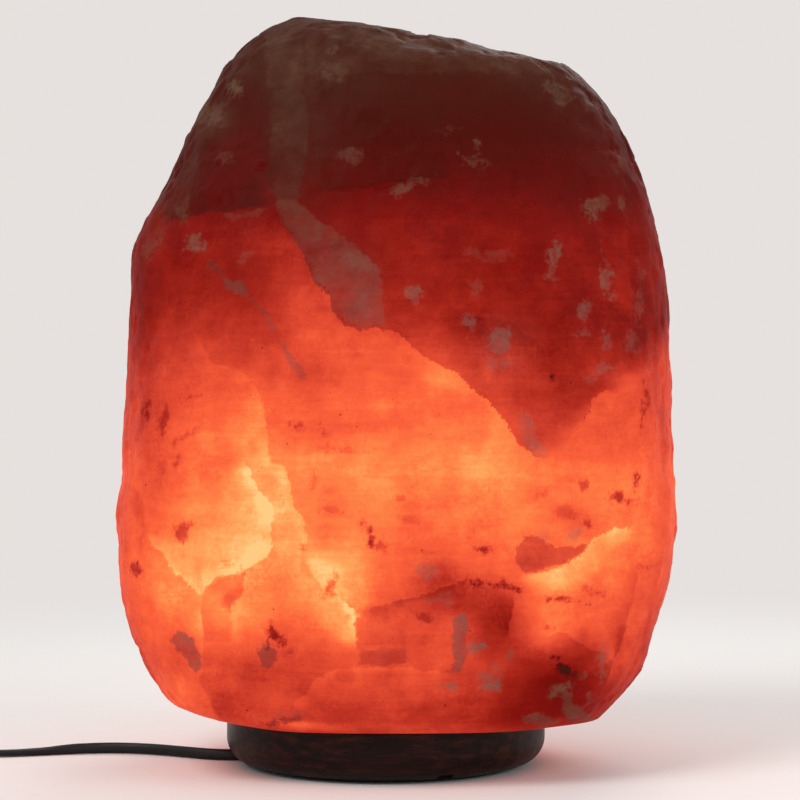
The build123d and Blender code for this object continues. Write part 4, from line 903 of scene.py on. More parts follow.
def rock_salt():
    """Rock salt, broken by hand and lit from inside: iron-red, translucent, waxy. The light
    that reaches its skin is its glow, and grey minerals hold it back."""
    settings = bpy.context.scene.salt_lamp_crystal
    material, node, shader = new_material("rock_salt_broken_lit")
    marks = {name: node("Attribute", {"attribute_name": name}, out="Fac") for name in ROCK_MARKS}

    def around_zero(value, share):
        """A pattern of 0 to 1 as a small change up and down."""
        return node("Math", "MULTIPLY", node("Math", "SUBTRACT", value, 0.5), share)

    def with_share(level, amount, share):
        """A level with a share of an amount on top."""
        return node("Math", "ADD", level, node("Math", "MULTIPLY", amount, share))

    # one torn line for all edges: steps of 9 mm, 3 mm and less
    torn = grain(node, 9.0, 5.0, rough=0.62)
    fine_tear = grain(node, 3.0, 4.0, rough=0.68)
    jag = node("Math", "ADD", around_zero(torn, 2.6), around_zero(fine_tear, 1.9))

    def inside(name, softness, wander):
        """1 inside a sharp edge, 0 outside."""
        stops = [(0.5 - softness, 0.0), (0.5 + softness, 1.0)]
        edge = node("Math", "ADD", with_share(marks[name], jag, wander), 0.5)
        return node("ValToRGB", {"interpolation": "EASE", "stops": stops}, edge)

    # bedding: faint streaks that rise to the right, 4 mm thick and some 40 mm long
    bedding = node(
        "Mapping", Vector=place_of(node), Rotation=(0, math.radians(7), math.radians(20)),
        Scale=(0.12, 0.4, 1.3),
    )
    streaks = node(
        "TexNoise", Vector=bedding, Scale=1 / (5 * MM), Detail=4.0, Roughness=0.6, Distortion=0.6
    )
    # clouds in the salt, 18 mm across, and crumbs of 2 mm
    clouds = grain(node, 18.0, 6.0, rough=0.62)
    crumbs = grain(node, 2.0, 3.0, rough=0.65)
    dropped = node("Math", "MULTIPLY", inside("face_edge", 0.08, 0.5), marks["face_drop"])
    level = node("Math", "SUBTRACT", marks["glow"], dropped)
    level = with_share(level, inside("ledge_edge", 0.10, 0.45), marks["ledge_glow"])
    patch = inside("patch_edge", 0.14, 0.55)
    level = with_share(level, patch, marks["patch_glow"])
    calm = node("ValToRGB", {"stops": [(0.2, 0.45), (0.6, 1.0)]}, marks["glow"])
    for value, share in ((streaks, 0.10), (clouds, 0.28), (crumbs, 0.07)):
        level = with_share(level, around_zero(value, share), calm)
    # upright grooves down the limbs, some 4 mm wide and 60 mm long, where the rock was chiselled
    grooves = around_zero(grain(node, 5.0, 4.0, (1.0, 1.0, 0.10), 0.62), 0.24)
    chiselled = pattern(node, 60.0, [(0.44, 0.2), (0.58, 1.0)])
    level = with_share(level, node("Math", "MULTIPLY", grooves, chiselled), marks["limb"])
    # cleavage: cubes of 8 mm, each a little brighter or darker than the next
    warped = node(
        "Mix", COLOURS, 0.35, i6=place_of(node), i7=grain(node, 30.0, 3.0, out="Color"), out=2
    )
    cubes = node("TexVoronoi", {"distance": "CHEBYCHEV"}, Vector=warped, Scale=1 / (9 * MM), out="Color")
    shown = pattern(node, 26.0, [(0.48, 0.0), (0.66, 1.0)], 3.0)
    level = with_share(level, around_zero(cubes, 0.06), shown)
    # hairline cracks about 25 mm apart, only here and there
    warped = node(
        "Mix", COLOURS, 0.10, i6=place_of(node), i7=grain(node, 9.0, 3.0, out="Color"), out=2
    )
    cracks = node("TexVoronoi", {"feature": "DISTANCE_TO_EDGE"}, Vector=warped, Scale=1 / (26 * MM))
    hairline = node("ValToRGB", {"stops": [(0.0, 1.0), (0.008, 0.4), (0.022, 0.0)]}, cracks)
    hairline = node("Math", "MULTIPLY", hairline, pattern(node, 34.0, [(0.52, 0.0), (0.64, 1.0)]))
    level = node("Math", "SUBTRACT", level, node("Math", "MULTIPLY", hairline, 0.05))
    # clay: dark inclusions with ragged edges, and specks of 1 mm
    core = node("Math", "MULTIPLY", inside("clay_edge", 0.20, 0.6), 0.45)
    clay = with_share(core, inside("clay_edge", 0.49, 0.9), 0.45)
    clay = node("Math", "MULTIPLY", clay, marks["clay_share"])
    specks = pattern(node, 2.4, [(0.71, 0.0), (0.76, 0.8)], rough=0.6)
    specks = node("Math", "MULTIPLY", specks, pattern(node, 45.0, [(0.52, 0.0), (0.62, 1.0)]))
    clay = node("Math", "MAXIMUM", clay, specks)
    level = node("Math", "SUBTRACT", level, node("Math", "MULTIPLY", clay, 0.36))
    lit = node("ValToRGB", {"stops": GLOW_COLOURS}, level)
    # grey mineral skin: clouded inside its torn edges, and pale scuffs 1 mm wide that are also a painted
    # sheen where the glow is low
    cloudy = pattern(node, 14.0, [(0.30, 0.15), (0.55, 0.55), (0.75, 1.0)], 5.0, rough=0.65)
    chipped = pattern(node, 3.4, [(0.34, 0.25), (0.56, 1.0)], 4.0, rough=0.7)
    veiled = node("Math", "MULTIPLY", marks["spot_haze"], 0.74)
    spots = node("Math", "MULTIPLY", inside("spot_edge", 0.34, 1.1), veiled)
    spots = node("Math", "MULTIPLY", spots, chipped)
    bands = node("Math", "MULTIPLY", patch, marks["patch_haze"])
    skin = node("Math", "MAXIMUM", node("Math", "MULTIPLY", bands, cloudy), spots)
    veil = node("Math", "ADD", skin, marks["haze"])
    skin = node("Math", "MULTIPLY", with_share(skin, marks["haze"], cloudy), 0.66)
    scuffs_and_sheen = pattern(node, 3.6, [(0.62, 0.0), (0.78, 1.0)], 5.0, (0.45, 1.0, 1.7), 0.72)
    scuffs_and_sheen = node("Math", "MULTIPLY", scuffs_and_sheen, pattern(node, 28.0, [(0.48, 0.0), (0.70, 0.16)], 3.0))
    dimmed = node("ValToRGB", {"stops": [(0.3, 1.0), (0.75, 0.3)]}, level)
    scuffs_and_sheen = node("Math", "MULTIPLY", scuffs_and_sheen, dimmed)
    skin = node("Math", {"operation": "MAXIMUM", "use_clamp": True}, skin, scuffs_and_sheen)
    # the mineral is browner in the dark and pinker in the light
    # the mineral's colour is painted with the glow's light: browner where the glow is dark, pinker where
    # bright
    bright = node("ValToRGB", {"stops": [(0.30, 0.0), (0.62, 1.0)]}, marks["glow"])
    mineral = node("Mix", COLOURS, bright, i6=colour("86654F"), i7=colour("8C736A"), out=2)
    # painted shade: the rock's base colour is kept far darker than the salt's own pale pink, so that the glow
    # carries its colour
    salt = colour(settings.rock_shaded_colour_code)
    body = node("Mix", COLOURS, skin, i6=salt, i7=mineral, out=2)
    body = node("Mix", COLOURS, node("Math", "MULTIPLY", clay, 0.5), i6=body, i7=colour("241414"), out=2)
    covered = node("Math", "MULTIPLY", node("Math", "ADD", skin, veil), 0.58)
    held_back = node("Math", {"operation": "SUBTRACT", "use_clamp": True}, 1.0, covered)
    light = node("Mix", {**COLOURS, "blend_type": "MULTIPLY"}, 1.0, i6=lit, i7=held_back, out=2)
    light = node("Mix", {**COLOURS, "blend_type": "SUBTRACT"}, 1.0, i6=light, i7=salt, out=2)
    rough = node("Math", "ADD", node("Math", "MULTIPLY", crumbs, 0.35), torn)
    feed(
        shader, Base_Color=body, Emission_Color=light, Emission_Strength=settings.glow_strength,
        Roughness=0.55, Specular_IOR_Level=0.03, IOR=1.544,
        Normal=node("Bump", Height=rough, Distance=1.2 * MM, Strength=0.6),
    )
    return material


def build_crystal():
    """Makes the rock and lets it stand for its solid."""
    settings = bpy.context.scene.salt_lamp_crystal
    mesh = rock_mesh(settings.columns_front, settings.columns_back, settings.rows)
    sharp_over(mesh, ROCK_SHARP)
    piece = new_piece("salt_rock", mesh, [rock_salt()], smooth=False)
    standing_for(piece, "lamp_body", "rock_salt", "salt_crystal")


# ---------------------------------------------------------------- base and fixings


def stained_hardwood():
    """Turned hardwood, stained almost black-brown and waxed: open pores run along X as fine dark
    streaks, the growth lines show only just, and the wax gives a soft wide shine."""
    material, node, shader = new_material("hardwood_turned_stained_waxed")
    stain = [(0.34, "0A0201"), (0.48, "180702"), (0.60, "2C1006"), (0.72, "3A190A")]
    growth = pattern(node, 5.0, stain, 4.0, (0.05, 1.0, 1.5), 0.62)
    pores = pattern(node, 0.9, [(0.56, 0.0), (0.68, 1.0)], 2.0, (0.05, 1.0, 1.0))
    shown = node("Math", "MULTIPLY", pores, 0.7)
    turning = grain(node, 1.6, 2.0, (0.3, 0.3, 1.0))
    height = node("Math", "SUBTRACT", node("Math", "MULTIPLY", turning, 0.4), pores)
    feed(
        shader, Base_Color=node("Mix", COLOURS, shown, i6=growth, i7=colour("080404"), out=2),
        Roughness=pattern(node, 18.0, [(0.3, 0.34), (0.7, 0.50)], 3.0),
        Coat_Weight=0.08, Coat_Roughness=0.25, Specular_IOR_Level=0.08,
        Normal=node("Bump", Height=height, Distance=0.14 * MM, Strength=0.8),
    )
    return material


def build_base():
    """Finishes of the base, its felt and what holds the rock."""
    dress(stained_hardwood(), "wooden_base")
    # pressed wool felt, dyed charcoal: matt, with loose fibres about 1 mm long
    mottled(
        "wool_felt_charcoal", ("19181A", "2C2A2D"), 2.2, (0.92, 1.0), 0.9, 0.35, "felt_ring",
        Sheen_Weight=0.25,
    )
    # steel, zinc plated and yellow passivated: a warm, faintly cloudy metal
    mottled(
        "steel_zinc_yellow_passivated", ("B9A765", "D9CB93"), 3.0, (0.28, 0.42), 0.6, 0.02,
        "crystal_screws", "terminal_screws", "clip_screws", "dimmer_screws", Metallic=1.0,
    )
    # nylon 6, moulded, natural: milky and satin
    mottled(
        "nylon_natural_moulded", ("CFCCC0", "E0DED4"), 6.0, (0.40, 0.52), 0.8, 0.03,
        "screw_plugs", "cord_grip",
    )


# ---------------------------------------------------------------- lamp holder


def core_sleeves():
    """PVC core insulation, extruded: brown on one core and blue on the other, smooth and satin."""
    material, node, shader = new_material("pvc_cores_brown_blue")
    right = node("Math", "GREATER_THAN", node("SeparateXYZ", Vector=place_of(node)), 0.0)
    fine = grain(node, 1.2, 2.0)
    feed(
        shader, Base_Color=node("Mix", COLOURS, right, i6=colour("2D5FA8"), i7=colour("5A321C"), out=2),
        Roughness=node("ValToRGB", {"stops": [(0.3, 0.34), (0.7, 0.44)]}, fine),
        Normal=node("Bump", Height=fine, Distance=0.02 * MM, Strength=1.0),
    )
    return material


def build_holder():
    """Finishes of the lamp holder and the clip that holds it in the base."""
    # phenolic resin, pressed: brown-black, hard satin with faint flow clouds
    mottled(
        "phenolic_pressed_black", ("141213", "1F1B1B"), 7.0, (0.28, 0.40), 1.0, 0.03,
        "holder_cap", "holder_body",
    )
    # steatite, fired and unglazed: chalky white with grey specks
    mottled(
        "steatite_unglazed", ("D3CCBD", "EDE8DC"), 1.8, (0.62, 0.80), 0.7, 0.06, "contact_block"
    )
    # brass, pressed and turned, left bare: yellow with brown-gold clouds of tarnish
    mottled(
        "brass_bare_pressed", ("B08A41", "DDB968"), 4.0, (0.22, 0.38), 0.8, 0.02,
        "terminals", "shell_contact", "screw_shell", Metallic=1.0,
    )
    # phosphor bronze strip, rolled: pinker than brass, with fine lines along X
    mottled(
        "phosphor_bronze_rolled", ("A9704A", "C98F62"), 3.0, (0.25, 0.38), 0.6, 0.02,
        "centre_contact", stretch=(0.2, 1.0, 1.0), Metallic=1.0,
    )
    # spring steel strip, cold rolled and bright: fine lines up the strip
    mottled(
        "spring_steel_bright", ("A7A9AC", "C4C6C8"), 5.0, (0.22, 0.36), 0.7, 0.02,
        "spring_clip", stretch=(1.0, 1.0, 0.15), Metallic=1.0,
    )
    dress(core_sleeves(), "supply_wires")


# ---------------------------------------------------------------- bulb


def hot_tungsten():
    """Tungsten wire, drawn and coiled, at white heat: it gives off its own warm light."""
    settings = bpy.context.scene.salt_lamp_bulb
    material, node, shader = new_material("tungsten_wire_glowing")
    warm = pattern(node, 2.0, [(0.3, "FFB765"), (0.7, "FFD9A0")])
    feed(
        shader, Emission_Color=warm, Emission_Strength=settings.filament_glow,
        Base_Color=colour("6F655A"), Metallic=1.0, Roughness=0.4,
    )
    return material


def filament_coil(material):
    """The filament as a fine helix in the outer form of its solid: a mesh."""
    settings = bpy.context.scene.salt_lamp_bulb
    low, high = (Vector(corner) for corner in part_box("filament"))
    middle = (low + high) / 2
    node, size = new_growth(
        "Filament coil", ("Turns", "Float"), ("Coil Radius", "Float"), ("Length", "Float"),
        ("Wire Radius", "Float"), ("Start", "Vector"),
    )
    helix = node(
        "CurveSpiral", Resolution=14, Rotations=size["Turns"], Start_Radius=size["Coil Radius"],
        End_Radius=size["Coil Radius"], Height=size["Length"],
    )
    wire = node("CurvePrimitiveCircle", Resolution=7, Radius=size["Wire Radius"])
    coil = node("CurveToMesh", Curve=helix, Profile_Curve=wire, Fill_Caps=True)
    lying = node(
        "Transform", Geometry=coil, Translation=size["Start"], Rotation=(0.0, math.pi / 2, 0.0)
    )
    return grown("filament_coil", lying, material, {
        "Turns": float(settings.filament_turns),
        "Coil Radius": (high.z - low.z) / 2 - FILAMENT_WIRE,
        "Length": high.x - low.x,
        "Wire Radius": FILAMENT_WIRE,
        "Start": (low.x, middle.y, middle.z),
    })


def build_bulb():
    """Finishes of the bulb, and its coiled filament."""
    # aluminium cap, pressed: plain and bright with a faint bloom
    mottled(
        "aluminium_cap_pressed", ("BFBDB8", "D6D5D1"), 4.0, (0.26, 0.40), 0.8, 0.02, "bulb_cap",
        Metallic=1.0,
    )
    # black insulating glass, fused: deep and glossy with small flow waves
    mottled(
        "insulating_glass_black", ("07070A", "0F0F13"), 2.0, (0.06, 0.14), 1.6, 0.03,
        "bulb_insulator", IOR=1.52,
    )
    # tin solder, run on by hand: soft grey and lumpy
    mottled(
        "tin_solder", ("9FA1A4", "C3C5C7"), 1.4, (0.30, 0.48), 1.1, 0.08, "bulb_tip", Metallic=1.0
    )
    # soda-lime glass, blown: clear with long, very shallow waves
    mottled(
        "soda_lime_glass_blown", ("F3F7F6", "FFFFFF"), 20.0, (0.0, 0.02), 9.0, 0.02,
        "bulb_glass", "bulb_stem", IOR=1.52, Transmission_Weight=1.0,
    )
    # nickel wire, drawn: bright grey
    mottled(
        "nickel_wire_drawn", ("A8A6A0", "C6C3BC"), 1.5, (0.24, 0.36), 0.5, 0.01, "lead_wires",
        Metallic=1.0,
    )
    coil = new_piece("filament_coil", filament_coil(hot_tungsten()))
    standing_for(coil, "bulb", "filament_wire", "filament")


# ---------------------------------------------------------------- dimmer and plug


def grip_ribs(name, start, step, size, material):
    """A row of low lens-shaped ribs, half sunk in a housing: a mesh. Sizes in mm."""
    node, inputs = new_growth(
        "Grip ribs", ("Count", "Int"), ("Start", "Vector"), ("Step", "Vector"), ("Rib Size", "Vector")
    )
    row = node(
        "MeshLine", {"mode": "OFFSET"}, Count=inputs["Count"], Start_Location=inputs["Start"],
        Offset=inputs["Step"],
    )
    bead = node("MeshUVSphere", Segments=16, Rings=12, Radius=0.5)
    ribs = node("InstanceOnPoints", Points=row, Instance=bead, Scale=inputs["Rib Size"])
    return grown(name, ribs, material, {
        "Count": RIB_COUNT,
        "Start": [value * MM for value in start],
        "Step": [value * MM for value in step],
        "Rib Size": [value * MM for value in size],
    })


def choke_turns(material):
    """Enamelled wire wound round the choke's iron ring: a mesh."""
    low, high = (Vector(corner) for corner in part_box("dimmer_choke"))
    thick = (high.z - low.z) / 2
    node, size = new_growth(
        "Choke winding", ("Turns", "Int"), ("Ring Radius", "Float"), ("Turn Radius", "Float"),
        ("Wire Radius", "Float"), ("Centre", "Vector"),
    )
    ring = node("CurvePrimitiveCircle", Resolution=size["Turns"], Radius=size["Ring Radius"])
    points = node("CurveToPoints", {"mode": "EVALUATED"}, Curve=ring).node.outputs
    turn = node("CurvePrimitiveCircle", Resolution=14, Radius=size["Turn Radius"])
    wire = node("CurvePrimitiveCircle", Resolution=6, Radius=size["Wire Radius"])
    loop = node("CurveToMesh", Curve=turn, Profile_Curve=wire)
    wound = node(
        "InstanceOnPoints", Points=points["Points"], Instance=loop, Rotation=points["Rotation"]
    )
    placed = node("Transform", Geometry=wound, Translation=size["Centre"])
    return grown("choke_turns", placed, material, {
        "Turns": CHOKE_TURNS,
        "Ring Radius": (high.x - low.x) / 2 - thick,
        "Turn Radius": thick - CHOKE_WIRE,
        "Wire Radius": CHOKE_WIRE,
        "Centre": tuple((low + high) / 2),
    })


def build_dimmer():
    """Finishes of the dimmer, its grip ribs, the mark beside its wheel and its wound choke."""
    # ABS, injection moulded in a spark-eroded tool: black, dull, with a 0.6 mm grain
    case = mottled(
        "abs_spark_eroded_black", ("101012", "18181B"), 12.0, (0.46, 0.62), 0.6, 0.05,
        "dimmer_bottom", "dimmer_top",
    )
    # acetal, moulded smooth: dark grey and slightly greasy
    acetal = mottled(
        "acetal_moulded_grey", ("222226", "2D2D31"), 5.0, (0.30, 0.42), 0.8, 0.02, "dimmer_wheel"
    )
    # glass-fibre board under green lacquer: its weave shows as small squares
    mottled(
        "fibre_board_green_lacquer", ("1B5230", "2C7243"), 1.2, (0.26, 0.38), 0.8, 0.03,
        "dimmer_board",
    )
    # epoxy, moulded: black and dull
    mottled(
        "epoxy_moulded_black", ("141415", "1D1D1E"), 3.0, (0.45, 0.60), 0.5, 0.03,
        "potentiometer", "dimmer_triac",
    )
    # film capacitor in a dipped yellow case: glossy with soft dents
    mottled(
        "capacitor_case_yellow", ("C3931C", "DDB035"), 5.0, (0.22, 0.34), 2.0, 0.08,
        "dimmer_capacitor",
    )
    # enamelled copper wire: red-brown metal under a clear coat
    copper = mottled(
        "copper_wire_enamelled", ("8E4526", "B9653A"), 1.0, (0.25, 0.36), 0.5, 0.02,
        "dimmer_choke", Metallic=1.0, Coat_Weight=0.5,
    )
    low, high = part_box("dimmer_top")
    left, right, top = low[0] / MM, high[0] / MM, high[2] / MM
    middle = (low[1] + high[1]) / 2 / MM
    ribs = [
        grip_ribs("ribs", (x, middle, top - RIB_SINK), (step, 0, 0), (1.5, 20.0, 1.1), case)
        for x, step in ((left + 9, 3.0), (right - 9, -3.0))
    ]
    piece = new_piece("dimmer_ribs", joined("dimmer_ribs", ribs), [case])
    standing_for(piece, "cord_set", "case_plastic")
    # a raised wedge beside the wheel shows which way the light grows
    wheel_low, wheel_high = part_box("dimmer_wheel")
    start, end = wheel_low[0] / MM + 2, wheel_high[0] / MM - 2
    front = low[1] / MM + 4.5
    flat = [(start, front), (end, front - 1.6), (end, front + 1.6)]
    points = [(x, y, level) for level in (top - 0.2, top + 0.35) for x, y in flat]
    faces = [(2, 1, 0), (3, 4, 5), (0, 1, 4, 3), (1, 2, 5, 4), (2, 0, 3, 5)]
    wedge = new_piece("dimmer_wedge_mark", recalculated(mesh_of("wedge", points, faces)), [acetal], False)
    standing_for(wedge, "cord_set", "wheel_plastic")
    winding = new_piece("choke_winding", choke_turns(copper))
    standing_for(winding, "cord_set", "copper_winding")


def build_plug():
    """Finishes of the plug and its grip ribs."""
    rubber = soft_pvc()
    dress(rubber, "plug_body", "pin_sleeves")
    # brass pins, nickel plated: bright, barely yellow, with fine marks of wear
    mottled(
        "brass_nickel_plated", ("C4C1B8", "DAD7CF"), 3.0, (0.14, 0.28), 0.6, 0.015, "plug_pins",
        Metallic=1.0,
    )
    low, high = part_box("plug_body")
    start = (low[0] / MM + 8, (low[1] + high[1]) / 2 / MM, high[2] / MM - RIB_SINK)
    piece = new_piece("plug_ribs", grip_ribs("plug_ribs", start, (2.8, 0, 0), (1.4, 15.0, 1.2), rubber))
    standing_for(piece, "cord_set", "plug_plastic")


# ---------------------------------------------------------------- stage


def build_stage():
    """A pale floor that keeps the lamp's shadow, soft lamps, and the camera."""
    scene = bpy.context.scene
    scene.view_settings.view_transform = "Standard"
    settings = scene.salt_lamp_stage
    pale, black = colour(PALE), colour("000000")
    corners = [(-1, -1), (1, -1), (1, 1), (-1, 1)]
    points = [(x * FLOOR_REACH, y * FLOOR_REACH, 0.0) for x, y in corners]
    floor_mesh = mesh_of("floor", points, [(0, 1, 2, 3)])
    # matt paper: away from the lamp it fades into the plain pale light behind it
    material, node, shader = new_material("floor_paper_matt")
    far = node("VectorMath", "LENGTH", place_of(node), out="Value")
    faded = node(
        "ValToRGB", {"interpolation": "EASE", "stops": [(0.22, 0.0), (0.60, 1.0)]},
        node("Math", "MULTIPLY", far, 0.5),
    )
    feed(
        shader, Base_Color=node("Mix", COLOURS, faded, i6=colour("E9E6E3"), i7=black, out=2),
        Emission_Color=node("Mix", COLOURS, faded, i6=black, i7=pale, out=2),
        Emission_Strength=1.0, Roughness=0.9, Specular_IOR_Level=0.0,
    )
    new_piece("floor", floor_mesh, [material])

    world = bpy.data.worlds.new("studio")
    scene.world = world
    world.use_nodes = True
    node = partial(add, world.node_tree)
    rays = node("LightPath").node.outputs
    seen = node("Math", "MAXIMUM", rays["Is Camera Ray"], rays["Is Glossy Ray"])
    seen = node("Math", "MAXIMUM", seen, rays["Is Transmission Ray"])
    feed(
        world.node_tree.nodes["Background"],
        Color=node("Mix", COLOURS, seen, i6=colour("FFFFFF"), i7=pale, out=2),
        Strength=node("MapRange", Value=seen, To_Min=settings.sky_strength, To_Max=1.0),
    )

    for name, place, size, power in (
        ("key", (-1.1, -1.3, 1.7), 1.2, settings.key_power),
        ("fill", (1.5, -1.0, 1.0), 1.4, settings.key_power * 0.45),
        ("back", (0.6, 1.5, 1.5), 1.2, settings.key_power * 0.5),
    ):
        light = bpy.data.lights.new(name, "AREA")
        light.shape = "DISK"
        light.size = size
        light.energy = power
        lamp = bpy.data.objects.new(name, light)
        lamp.location = place
        lamp.rotation_euler = (Vector(LAMPS_AIM) - Vector(place)).to_track_quat("-Z", "Y").to_euler()
        scene.collection.objects.link(lamp)

    camera = bpy.data.cameras.new("camera")
    camera.sensor_width = SENSOR_WIDTH
    camera.lens = SENSOR_WIDTH * VIEW_SCALE / VIEW_PIXELS
    camera.clip_start, camera.clip_end = 0.05, 30.0
    eye = bpy.data.objects.new("camera", camera)
    eye.location = Vector(CAMERA_PLACE) * MM
    eye.rotation_euler = (math.pi / 2, 0, 0)
    scene.collection.objects.link(eye)
    scene.camera = eye


# ---------------------------------------------------------------- cord

BUSH_LEVEL = 10.0
CASE_RIGHT, CASE_LEFT, PLUG_BACK = -296.0, -380.0, -287.0  # where the sleeves meet the housings
RELIEF_PITCH = 3.2
RELIEF_GROOVE = 0.7
RELIEF_STATION = 0.4
RELIEF_SIDES = 28
RELIEF_END = (3.7, 2.7)  # half width and height where the sleeve ends on the cord
RELIEF_FLATNESS = 0.94
STRAP_CORNER = 3.4
STRAP_THICKNESS = 0.7
STRAP_SHARP = 35  # degrees
INNER_RADIUS = 2.45
FLOOR_GAP = 0.25
UPRIGHT = 0.05  # a line whose level part is less than this share runs upright
UV_LENGTH = 0.01


def along_groove(distance):
    """A point on the cord in the base's groove, at a distance from the base's axis."""
    heading = math.radians(176.6)
    return (distance * math.cos(heading), distance * math.sin(heading), 5.0 - 0.021 * distance)


LAMP_ROUTE = [
    along_groove(76.0), along_groove(92.0), (-110.0, 15.5, 3.0),
    (-129.0, 26.5, 3.0), (-150.0, 31.5, 3.0), (-177.0, 28.5, 2.8),
    (-205.0, 19.0, 2.6), (-230.0, 16.5, 2.6), (-248.0, 24.0, 3.6),
    (-263.0, 36.0, 6.3), (-278.0, 42.0, BUSH_LEVEL), (-290.0, 42.0, BUSH_LEVEL),
]
COIL_CENTRE = (-345.0, -53.0)
COIL_STEP = 2.8
COIL_OUTER = 39.8
ARC_POINTS = 8  # control points in a half turn
COIL_LOW, COIL_HIGH = 3.1, 9.2
LEAD_START = [
    (-386.0, 42.0, BUSH_LEVEL), (-400.0, 42.0, BUSH_LEVEL), (-412.0, 33.0, 8.0),
    (-416.0, 17.0, 5.8), (-411.0, 2.0, 4.4), (-401.0, -12.0, 3.4),
    (-391.0, -24.0, COIL_LOW), (-384.8, -37.0, COIL_LOW), (-384.8, -48.0, COIL_LOW),
]
LEAD_END = [(-323.9, -92.8, COIL_HIGH), (-312.0, -92.8, 7.2), (-301.0, -92.8, 6.85)]
# inside the base: up from the groove to the holder's grip
INNER_ROUTE = [
    *(along_groove(distance) for distance in (76.0, 56.0, 34.0, 16.0)),
    (-7.5, 0.4, 4.6), (-1.4, 0.1, 7.4), (0.0, 0.0, 14.0), (0.0, 0.0, 20.0), (0.0, 0.0, 26.2),
]
# how a lead's flat section leans, as (distance in mm, degrees): on edge near the base and flat
# further out, flat at the dimmer and on edge in the coil, and at a distance before the plug
LAMP_LEAN = [
    (0, 70), (20, 80), (45, 88), (80, 84), (100, 60), (118, 18), (135, 4), (180, 0), (260, 0),
]
COIL_LEAN = [(0, 0), (30, 4), (70, 30), (105, 84), (125, 90)]
PLUG_LEAN = [(0, 0), (24, 6), (52, 90)]


def coil_points():
    """The coil: seven half turns inwards, a climb, six outwards and a quarter."""
    points = []
    x, y = COIL_CENTRE[0] - COIL_OUTER, COIL_CENTRE[1]
    radius, heading, height = COIL_OUTER, -1, COIL_LOW
    half_turns = [(-COIL_STEP, 0.0)] * 7 + [(COIL_STEP, COIL_HIGH - COIL_LOW)] + [(COIL_STEP, 0.0)] * 6
    # a control point stands a little outside the arc that it makes
    stretch = 1 / math.cos(math.pi / (2 * ARC_POINTS))
    for change, climb in half_turns:
        middle, reach = x - heading * radius, radius * stretch
        for i in range(ARC_POINTS):
            share = i / ARC_POINTS
            angle = math.pi * share
            points.append((
                middle + heading * reach * math.cos(angle),
                y + heading * reach * math.sin(angle),
                height + climb * share * share * (3 - 2 * share),
            ))
        x -= heading * 2 * radius
        height += climb
        heading, radius = -heading, radius + change
    for i in range(5):
        angle = math.pi / 2 * i / 4
        points.append((x + radius - radius * math.cos(angle), y - radius * math.sin(angle), height))
    return points


def route_curve(name, route):
    """A NURBS curve with a route's points as its control points."""
    data = bpy.data.curves.new(name, "CURVE")
    data.dimensions = "3D"
    spline = data.splines.new("NURBS")
    spline.points.add(len(route) - 1)
    for point, place in zip(spline.points, route):
        point.co = (*(value * MM for value in place), 1.0)
    spline.order_u = 3
    spline.use_endpoint_u = True
    spline.resolution_u = 8
    return data


def line_of(name, route):
    """The points along a route's smooth line, in metres."""
    mesh = finished_mesh(bpy.data.objects.new(name, route_curve(name, route)))
    line = [vert.co.copy() for vert in mesh.vertices]
    bpy.data.meshes.remove(mesh)
    return line


def flat_cord_outline(wide, thick, sides=14):
    """The section of the flat cord: two cores side by side under one sheath."""
    points = []
    for i in range(sides):
        angle = 2 * math.pi * i / sides
        waist = 1 - 0.10 * math.cos(angle * 2 + math.pi) * 0.5 - 0.05
        squarish = abs(math.cos(angle)) ** 0.8 * (1 if math.cos(angle) > 0 else -1)
        points.append((wide / 2 * squarish, thick / 2 * math.sin(angle) * waist))
    return points


def crosswise(forward):
    """The level direction across a line, and the one that rises from it."""
    level = forward.cross(Vector((0, 0, 1)))
    level = level.normalized() if level.length > UPRIGHT else Vector((0, 1, 0))
    return level, level.cross(forward).normalized()


def tube_faces(shell, rings):
    """Joins rings of points to a closed tube; returns its side faces, ring by ring."""
    sides = []
    for low, high in zip(rings, rings[1:]):
        for j in range(len(low)):
            k = (j + 1) % len(low)
            sides.append(shell.faces.new((low[j], low[k], high[k], high[j])))
    shell.faces.new(reversed(rings[0]))
    shell.faces.new(rings[-1])
    return sides


def tube_mesh(name, shell):
    """A mesh from a tube's bmesh, its faces turned outwards."""
    bmesh.ops.recalc_face_normals(shell, faces=shell.faces)
    return mesh_from_shell(name, shell)


def swept_cord(name, line, outline, turns, material):
    """A tube round a line; turns gives the flat section's lean in degrees at a distance in mm."""
    shell = bmesh.new()
    along = shell.loops.layers.uv.new("UVMap")
    runs = [0.0]
    for a, b in zip(line, line[1:]):
        runs.append(runs[-1] + (b - a).length)
    rings = []
    for i, here in enumerate(line):
        forward = (line[min(i + 1, len(line) - 1)] - line[max(i - 1, 0)]).normalized()
        level, rise = crosswise(forward)
        lean = math.radians(turns(runs[i] / MM))
        wide = level * math.cos(lean) + rise * math.sin(lean)
        thick = rise * math.cos(lean) - level * math.sin(lean)
        rings.append([shell.verts.new(here + (wide * u + thick * v) * MM) for u, v in outline])
    count = len(outline)
    for number, face in enumerate(tube_faces(shell, rings)):
        i, j = divmod(number, count)
        for loop, (row, column) in zip(face.loops, ((i, j), (i, j + 1), (i + 1, j + 1), (i + 1, j))):
            loop[along].uv = (runs[row] / UV_LENGTH, column / count)
    return new_piece(name, tube_mesh(name, shell), [material])


